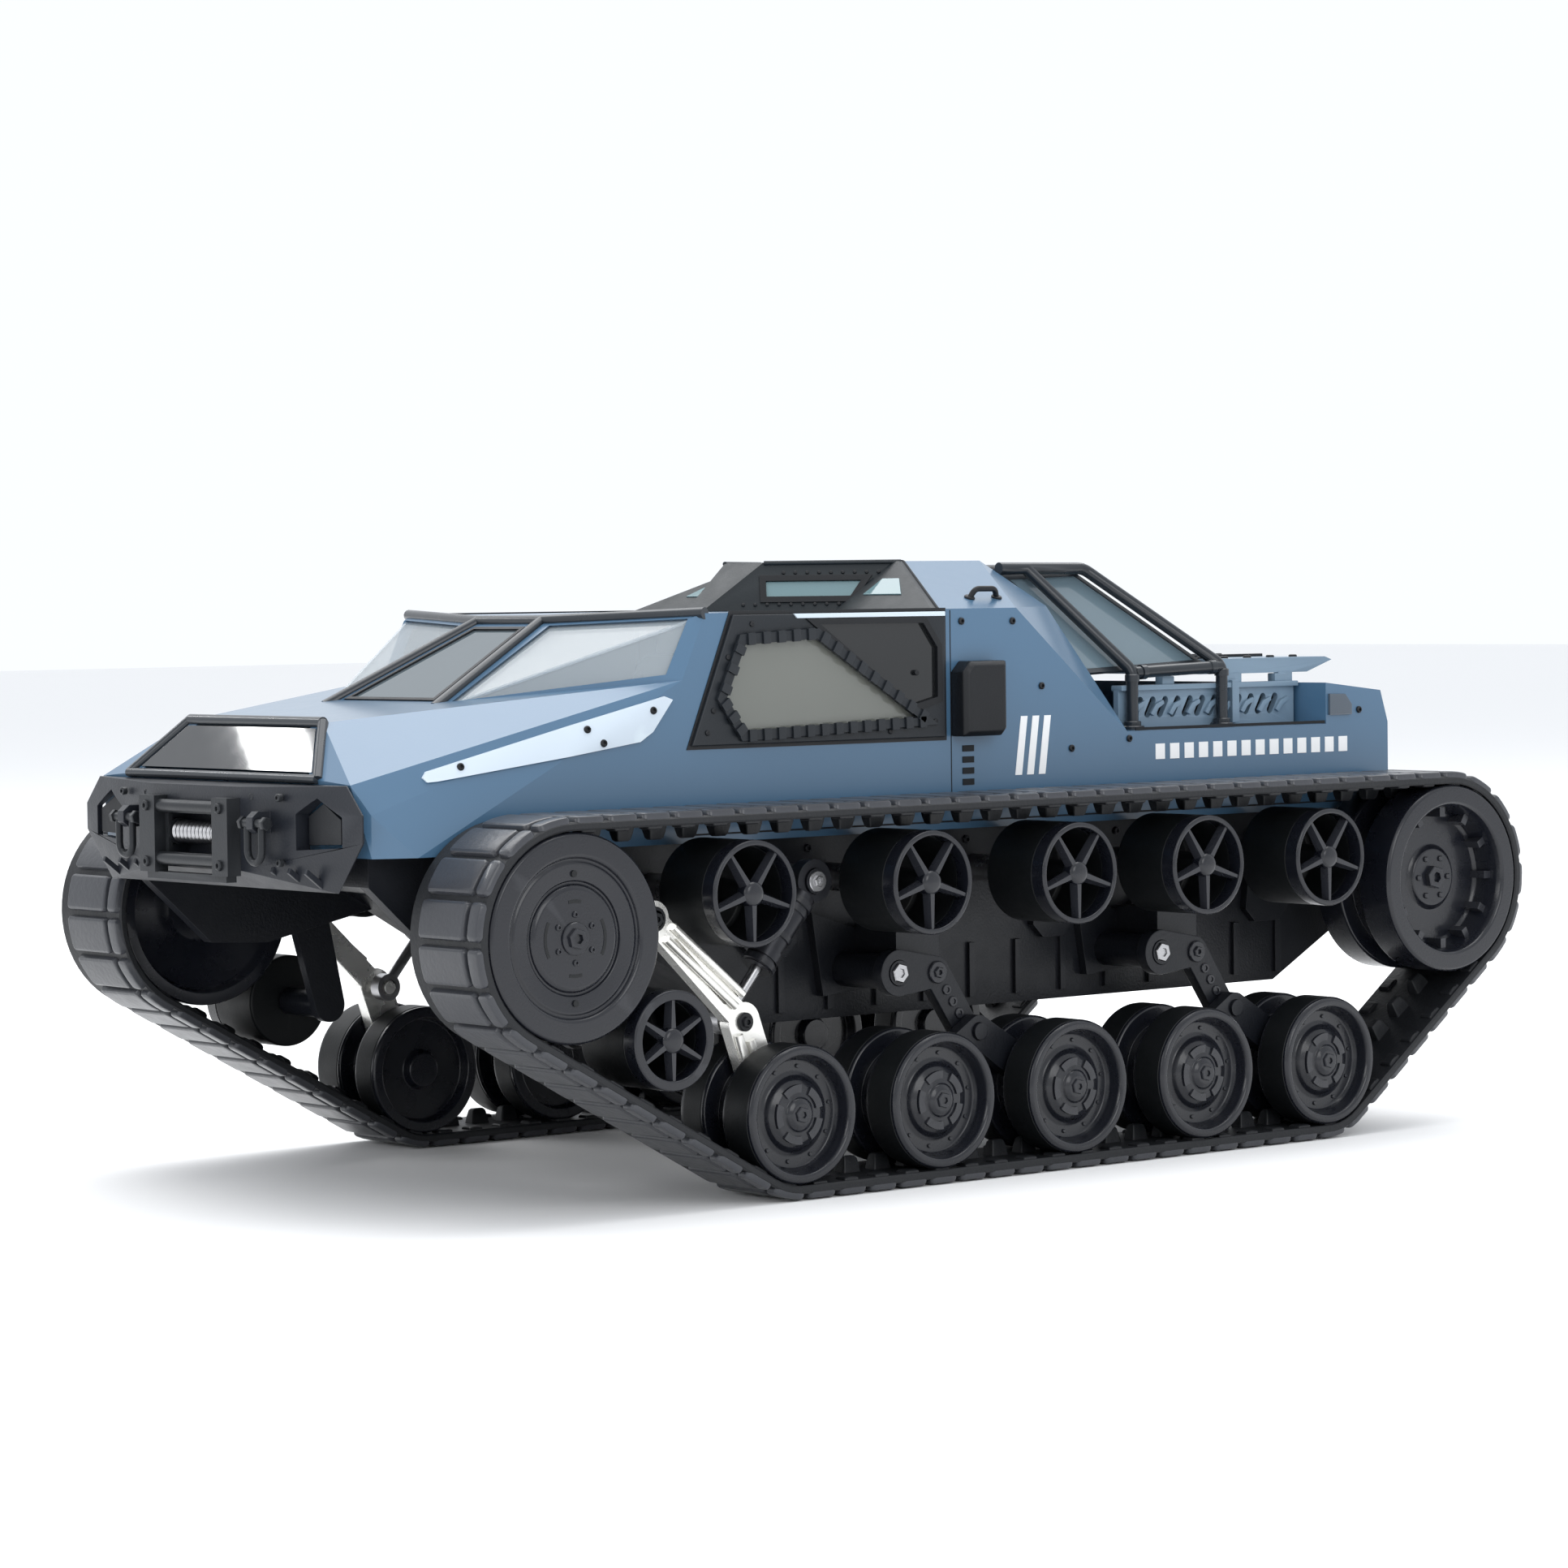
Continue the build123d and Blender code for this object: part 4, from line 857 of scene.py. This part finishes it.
# ---- doors and roof module ----
FRONT_WINDOW = [(-80.4, 135.4), (-73.3, 150.5), (-47.2, 151.7), (-8.8, 127.9), (-73.3, 125.8)]
REAR_WINDOW = [(-47.2, 155.7), (-7.3, 155.7), (-1.8, 148.3), (-1.8, 133.6), (-11.7, 131.3)]
refined("door_panels", DOOR, 0.35)


def upright(outline, x):
    """A (y, z) outline stood at a distance along X."""
    return [(x, y, z) for y, z in outline]


for name, side in SIDES.items():
    x = DOOR_X
    bm = bmesh.new()
    window = upright(FRONT_WINDOW, side * x)
    outer, inner = drawn(window, -2.4), drawn(window, 0.5)
    ring(bm, outer, inner, 1.4, 1.0)
    middle = [(a + b) / 2 for a, b in zip(outer, inner)]
    for i in range(5):
        a, b = middle[i], middle[(i + 1) % 5]
        count = max(2, round((b - a).length / 5.2))
        for k in range(count):
            p = a.lerp(b, (k + 0.5) / count)
            along = (b - a).normalized()
            across = Vector((1, 0, 0)).cross(along)
            corners = ((-1.3, -1.7), (1.3, -1.7), (1.3, 1.7), (-1.3, 1.7))
            rim = [p + along * u + across * v for u, v in corners]
            low, high = ([(side * (x + h), q.y, q.z) for q in rim] for h in (0.4, 1.7))
            bridge(bm, low, high)
    done(bm, f"door_frame_{name}", DOOR, "hull", 0.25)
    bm = bmesh.new()
    window = upright(REAR_WINDOW, side * x)
    ring(bm, drawn(window, -1.3), drawn(window, 0.6), 1.4, 0.6)
    for y, z in ((-86.2, 126.0), (-78.6, 146.6), (-70.0, 155.6), (-50.0, 124.6), (-20.0, 124.6),
                 (-3.0, 127.0), (-84.0, 132.0), (-10.0, 141.0)):
        stud(bm, (side * x, y, z), (side, 0, 0), 0.8, 0.5, 12, 0.2)
    done(bm, f"door_trim_{name}", BLACK, "hull", 0.2)
    bm = bmesh.new()
    rail = [(-54.0, 157.0), (-55.2, 158.3), (0.8, 158.3), (0.8, 157.0)]
    prism(bm, rail, side * (x - 0.4), side * (x + 0.5))
    done(bm, f"door_rail_{name}", PALE, "hull", 0.2)
    bm = bmesh.new()
    line = upright([(-92.0, 122.0), (-76.8, 158.8), (1.6, 158.8), (1.6, 122.0)], side * HALF)
    ring(bm, drawn(line, -0.5), drawn(line, 0.7), 0.5, 0.25)
    done(bm, f"door_gap_{name}", BLACK, "hull")

refined("roof_module", ROOF, 0.4)
WEDGE_FRONT = Vector((4.0, -33.7, 159.0))
WEDGE_RUN = Vector((24.0, 33.4, 0.0))
WEDGE_RISE = Vector((4.9, 19.2, 14.0))


def on_wedge(along, height):
    """The point on the roof wedge's left face at shares of its run and of its height."""
    return tuple(WEDGE_FRONT + WEDGE_RUN * along + WEDGE_RISE * height)


STRIP = [on_wedge(t, h) for t, h in ((0.34, 0.24), (0.16, 0.64), (0.88, 0.64), (0.96, 0.24))]
PANEL_WINDOW = [(33.0, 3.3, 163.2), (50.0, 3.3, 163.2), (42.0, 9.6, 167.8), (34.6, 9.6, 167.8)]
for name, side in SIDES.items():
    outline = sided(STRIP, side)
    n = outward(outline)
    bm = bmesh.new()
    ring(bm, drawn(outline, -1.3), drawn(outline, 0.6), 1.2, 0.5)
    for k in range(9):
        for height in (0.12, 0.78):
            spot = sided([on_wedge(0.24 + 0.085 * k, height)], side)[0]
            stud(bm, Vector(spot), n, 0.55, 0.5, 10, 0.15)
    done(bm, f"roof_gasket_{name}", BLACK, "hull", 0.2)
    bm = bmesh.new()
    slab(bm, sided(PANEL_WINDOW, side), 0.8, 0.3)
    done(bm, f"roof_panel_window_{name}", TEAL, "hull", 0.2)
    bm = bmesh.new()
    pipe(bm, sided([on_wedge(0.01, 0.99), on_wedge(0.99, 0.99)], side), 0.7, 12)
    done(bm, f"roof_edge_{name}", ROOF, "hull")

# ---- glazing ----
REAR_PANE = [(34.0, 58.1, 167.5), (33.2, 86.8, 168.5), (54.8, 118.0, 141.5), (56.4, 67.0, 139.5),
             (41.6, 66.4, 158.0)]
SLOPE_PANE = [(-31.6, 88.0, 168.3), (31.6, 88.0, 168.3), (53.4, 118.5, 141.3), (-53.4, 118.5, 141.3)]
bm = bmesh.new()
slab(bm, drawn(WINDSCREEN, 4.2), 1.2, -0.2)
done(bm, "glazing.windscreen", SCREEN, "hull", replaces=("glazing",))
bm = bmesh.new()
slab(bm, drawn(HOOD_WINDOW, 2.2), 1.6, 0.4)
done(bm, "glazing.hood", HOOD, "hull")
for name, side in SIDES.items():
    bm = bmesh.new()
    for facet in SIDE_FACETS:
        slab(bm, sided(facet, side), 0.6, -0.7)
    done(bm, f"glazing.side_{name}", CLEAR_PAINTED_REFLECTION, "hull")
    bm = bmesh.new()
    prism(bm, [(-85, 126), (-74.2, 155.5), (-2, 155.5), (-2, 126)], side * 69.0, side * 70.1)
    done(bm, f"glazing.door_{name}", SMOKE, "hull")
    bm = bmesh.new()
    slab(bm, sided(STRIP, side), 1.0, -0.2)
    done(bm, f"glazing.roof_{name}", TEAL, "hull")
    bm = bmesh.new()
    prism(bm, REAR_WINDOW, side * 70.0, side * 70.7)
    done(bm, f"glazing.quarter_{name}", NIGHT, "hull")
    bm = bmesh.new()
    slab(bm, sided(REAR_PANE, side), 0.8, 0.2)
    done(bm, f"glazing.rear_{name}", REAR, "hull")
bm = bmesh.new()
slab(bm, SLOPE_PANE, 1.0, 0.2)
done(bm, "glazing.slope", REAR, "hull")

# ---- cabin ----
bm = bmesh.new()
prism(bm, [(-88, 97), (-88, 98.6), (24, 98.6), (24, 97)], -63.8, 63.8)
for side in SIDES.values():
    x = side * 24
    prism(bm, [(-64, 99), (-66, 108), (-60, 112), (-30, 110), (-28, 99)], x - 17, x + 17)
    prism(bm, [(-33, 106), (-25, 143), (-21, 146), (-17, 143), (-22, 106)], x - 15, x + 15)
    prism(bm, [(-24, 147), (-22.6, 155), (-17.6, 155), (-18, 147)], x - 7, x + 7)
    for inset in (-13.5, 10.5):
        prism(bm, [(-35.5, 108), (-27.6, 140), (-24, 142), (-31, 108)], x + inset, x + inset + 3)
done(bm, "cabin_interior.seats", CABIN, "hull", 1.6, 50, ("cabin_interior",), 3)
bm = bmesh.new()
prism(bm, [(-91, 98), (-91, 119), (-86, 124), (-77, 124.6), (-72, 113), (-78, 98)], -58, 58)
for x in (-24, 24):
    prism(bm, [(-76, 121), (-74.6, 125.6), (-73.4, 125.2), (-74.2, 118)], x - 9, x + 9)
prism(bm, [(-70, 99), (-70, 112), (-20, 110), (-20, 99)], -5, 5)
done(bm, "cabin_interior.dash", CABIN, "hull", 0.8)
bm = bmesh.new()
wheel = [(24 + 9 * math.cos(t), -68 + 3 * math.sin(t), 122 + 8.5 * math.sin(t)) for t in
         (2 * math.pi * k / 24 for k in range(24))]
pipe(bm, wheel, 0.8, 8, closed=True)
pipe(bm, [(24, -68, 122), (24, -76, 119)], 1.2, 10)
pipe(bm, [(15.4, -68, 122), (32.6, -68, 122)], 0.8, 8)
for side in SIDES.values():
    pipe(bm, [(side * 63, -84.0, 122.5), (side * 60, -82.5, 130.0), (side * 55, -86.0, 137.0)], 0.8, 8)
    pipe(bm, [(side * 40, -64.0, 124.0), (side * 44, -48.0, 129.0), (side * 60, -40.0, 127.0)], 1.0, 8)
    prism(bm, [(-58, 112), (-56, 127), (-48, 129), (-44, 112)], side * 56, side * 63)
    stud(bm, (side * 56, -70.0, 150.0), (0, -1, 0), 3.0, 6.0, 4, 0.5)
done(bm, "cabin_controls", BLACK, "hull")

# ---- roll cage, rear deck and tail ----
refined("roll_cage", CAGE, 0.0, 50)
bm = bmesh.new()
for side in SIDES.values():
    for y in (85.5, 123.0):
        stud(bm, (side * 60.0, y, 122.0), (0, 0, 1), 3.6, 1.2, 24)
        stud(bm, (side * 60.0, y, 123.2), (0, 0, 1), 2.6, 1.4, 24)
    for spot, way in (((60.0, 85.5, 137.0), (0, 0, 1)), ((60.0, 123.0, 138.0), (0, 0, 1)),
                      ((60.0, 89.4, 139.1), (0, 1, 0.03)), ((60.0, 119.0, 140.1), (0, -1, -0.03))):
        stud(bm, (side * spot[0], spot[1], spot[2]), way, 2.2, 1.6, 20, 0.3)
    pane = sided(REAR_PANE, side)
    ring(bm, drawn(pane, -0.9), drawn(pane, 0.7), 1.1, 0.5)
ring(bm, drawn(SLOPE_PANE, -0.9), drawn(SLOPE_PANE, 0.7), 1.1, 0.5)
done(bm, "roll_cage.collars", CAGE, "hull")

refined("rear_deck", DECK, 0.4)
# Dark sheets inside the rear deck behind the wavy grille: painted shade, so the grille's slots look dark.
bm = bmesh.new()
for side in SIDES.values():
    prism(bm, [(83, 122.4), (83, 133.4), (156, 133.4), (156, 122.4)], side * 54.6, side * 55.0)
prism(bm, [(83, 122.3), (83, 123.0), (156, 123.0), (156, 122.3)], -54.8, 54.8)
done(bm, "grille_shade_backing", SEAM_AND_SHADE, "hull")
bm = bmesh.new()
for side in SIDES.values():
    for k in range(9):
        y = 87.0 + 7.6 * k
        wave = [(y, 126.6), (y + 2.2, 129.4), (y + 5.4, 130.6), (y + 5.8, 129.4), (y + 3.2, 128.0),
                (y + 1.4, 125.8)]
        prism(bm, wave, side * 57.3, side * 58.5)
    prism(bm, [(82, 133.6), (82, 135.2), (157, 135.2), (157, 133.6)], side * 54.5, side * 59.2)
    for y in (100, 126, 148):
        prism(bm, [(y, 135), (y, 137.6), (y + 5, 137.6), (y + 5, 135)], side * 54.8, side * 58.0)
    prism(bm, [(128, 123.0), (128, 136.0), (131, 136.0), (131, 123.0)], side * 57.0, side * 59.6)
done(bm, "deck_trim", DECK, "hull", 0.3)
bm = bmesh.new()
for side in SIDES.values():
    for y in (124, 134, 144, 154, 164):
        stud(bm, (side * 50, y, 142.4), (0, 0, 1), 1.3, 0.7, 12, hole=0.6)
    for x in (side * 14, side * 32):
        prism(bm, [(123, 142.2), (123, 143.3), (168, 143.3), (168, 142.2)], x - 1, x + 1)
done(bm, "deck_screws", BLACK, "hull", 0.2)
for name, side in SIDES.items():
    bm = bmesh.new()
    lens = [(158.6, 124.6), (158.6, 131.2), (165.6, 131.0), (168.4, 127.8), (168.4, 124.6)]
    prism(bm, lens, side * 69.6, side * 71.0)
    prism(bm, [(180, 104), (180, 114), (185.4, 114), (185.4, 104)], side * 56, side * 64)
    done(bm, f"tail_lamp_{name}", TAIL, "hull", 0.3)
bm = bmesh.new()
prism(bm, [(184.6, 101), (184.6, 117), (186.0, 116), (186.0, 102)], -44, 44)
for z in (104, 107, 110, 113):
    prism(bm, [(185.6, z), (185.6, z + 1.4), (187.0, z + 1.4), (187.0, z)], -42, 42)
for x in (-60, -20, 20, 60):
    stud(bm, (x, 185.0, 119.4), (0, 1, 0), 1.1, 0.7, 12, hole=0.5)
done(bm, "tail_grille", BLACK, "hull", 0.3)
refined("side_intakes", BLACK, 0.5)

# ---- front end ----
refined("front_bumper", BUMPER, 0.7, 30)
refined("winch", WINCH, 0.5)
bm = bmesh.new()
for k in range(13):
    x = -11.4 + 1.9 * k
    lathe(bm, [(x - 0.9, 2.4), (x, 3.3), (x + 0.9, 2.4)], (-203.2, 101.5), 1, 28, 0.4)
done(bm, "winch_line", STEEL, "hull")
bm = bmesh.new()
for side in SIDES.values():
    for z in (93.4, 108.6):
        stud(bm, (side * 18.0, -210.2, z), (0, -1, 0), 1.5, 0.9, 6, hole=0.7)
    post = [(-206.6, 95.2), (-206.6, 107.8), (-205.2, 107.8), (-205.2, 95.2)]
    prism(bm, post, side * 14 - 1.2, side * 14 + 1.2)
    for x, z in ((26.0, 111.8), (38.5, 111.8), (26.0, 94.6), (38.5, 94.6)):
        stud(bm, (side * x, -204.6, z), (0, -1, 0), 1.1, 0.9, 12, hole=0.5)
done(bm, "bumper_bolts", WINCH, "hull", 0.1)
for name, side in SIDES.items():
    bm = bmesh.new()
    recess = [(44.2, 99.2), (44.2, 106.9), (51.2, 110.4), (59.2, 106.3), (59.2, 99.8)]
    bridge(bm, [(side * x, -199.2, z) for x, z in recess], [(side * x, -198.0, z) for x, z in recess])
    done(bm, f"lamp_back_{name}", BLACK, "hull", 0.2)
    refined(f"tow_shackle_{name}", WINCH, 0.15)
    body = f"tow_shackle_{name}"
    bm = bmesh.new()
    for end in (-5.2, 5.2):
        stud(bm, (side * 32 + end, -208.2, 105.0), (math.copysign(1, end), 0, 0), 1.9, 0.9, 6)
    done(bm, f"{body}.nuts", WINCH, body, 0.1)
bm = bmesh.new()
for side in SIDES.values():
    for k in range(4):
        x = side * (26 + 8 * k)
        prism(bm, [(-198.6, 87.2), (-204.6, 92.0), (-204.0, 93.4), (-197.6, 88.4)], x - 0.6, x + 0.6)
done(bm, "skid_ribs", BUMPER, "hull", 0.2)

# ---- stage, lights and camera ----
bm = bmesh.new()
face(bm, [(-9000, -9000, -0.4), (9000, -9000, -0.4), (9000, 9000, -0.4), (-9000, 9000, -0.4)])
bmesh.ops.scale(bm, vec=(MM, MM, MM), verts=bm.verts)
mesh = bpy.data.meshes.new("floor")
bm.to_mesh(mesh)
bm.free()
floor = bpy.data.objects.new("floor", mesh)
bpy.context.scene.collection.objects.link(floor)
pale = bpy.data.materials.new("floor_white")
pale.use_nodes = True
settings(pale.node_tree.nodes["Principled BSDF"], {"Base Color": (0.90, 0.90, 0.90, 1), "Roughness": 0.9})
mesh.materials.append(pale)

world = bpy.data.worlds.new("sky")
bpy.context.scene.world = world
bpy.context.scene.view_settings.view_transform = "Standard"
world.use_nodes = True
settings(world.node_tree.nodes["Background"], {"Color": (0.93, 0.96, 1.0, 1), "Strength": 1.05})


def lamp(name, at, aim, size, power, colour=(1, 1, 1), size_y=None):
    """A soft area light aimed at a point, in metres and watts."""
    data = bpy.data.lights.new(name, "AREA")
    data.shape = "RECTANGLE"
    data.size = size
    data.size_y = size_y or size
    data.energy = power
    data.color = colour
    obj = bpy.data.objects.new(name, data)
    obj.location = at
    obj.rotation_euler = (Vector(aim) - Vector(at)).to_track_quat("-Z", "Y").to_euler()
    bpy.context.scene.collection.objects.link(obj)


lamp("top", (-0.45, 0.35, 1.8), (0, 0, 0.1), 2.2, 38)
lamp("left", (1.6, -0.4, 0.9), (0, 0, 0.08), 0.9, 7)
lamp("hood", (-1.312, -0.4535, 0.967), (0.02, -0.19, 0.123), 0.5, 1.2, size_y=0.035)
lamp("front", (0.3, -1.9, 0.8), (0, 0, 0.1), 0.8, 6)

camera_data = bpy.data.cameras.new("camera")
camera_data.sensor_width = 36.0
camera_data.lens = 109.26
camera = bpy.data.objects.new("camera", camera_data)
bpy.context.scene.collection.objects.link(camera)
bpy.context.scene.camera = camera
heading, roll = math.radians(50.429), math.radians(-0.7102)
forward = Vector((-0.77022, 0.63653, -0.03998)).normalized()
level = Vector((math.cos(heading), math.sin(heading), 0.0))
plumb = level.cross(forward)
right = level * math.cos(roll) + plumb * math.sin(roll)
up = plumb * math.cos(roll) - level * math.sin(roll)
camera.matrix_world = Matrix((
    (right.x, up.x, -forward.x, 1.08851),
    (right.y, up.y, -forward.y, -0.89979),
    (right.z, up.z, -forward.z, 0.16390),
    (0, 0, 0, 1),
))
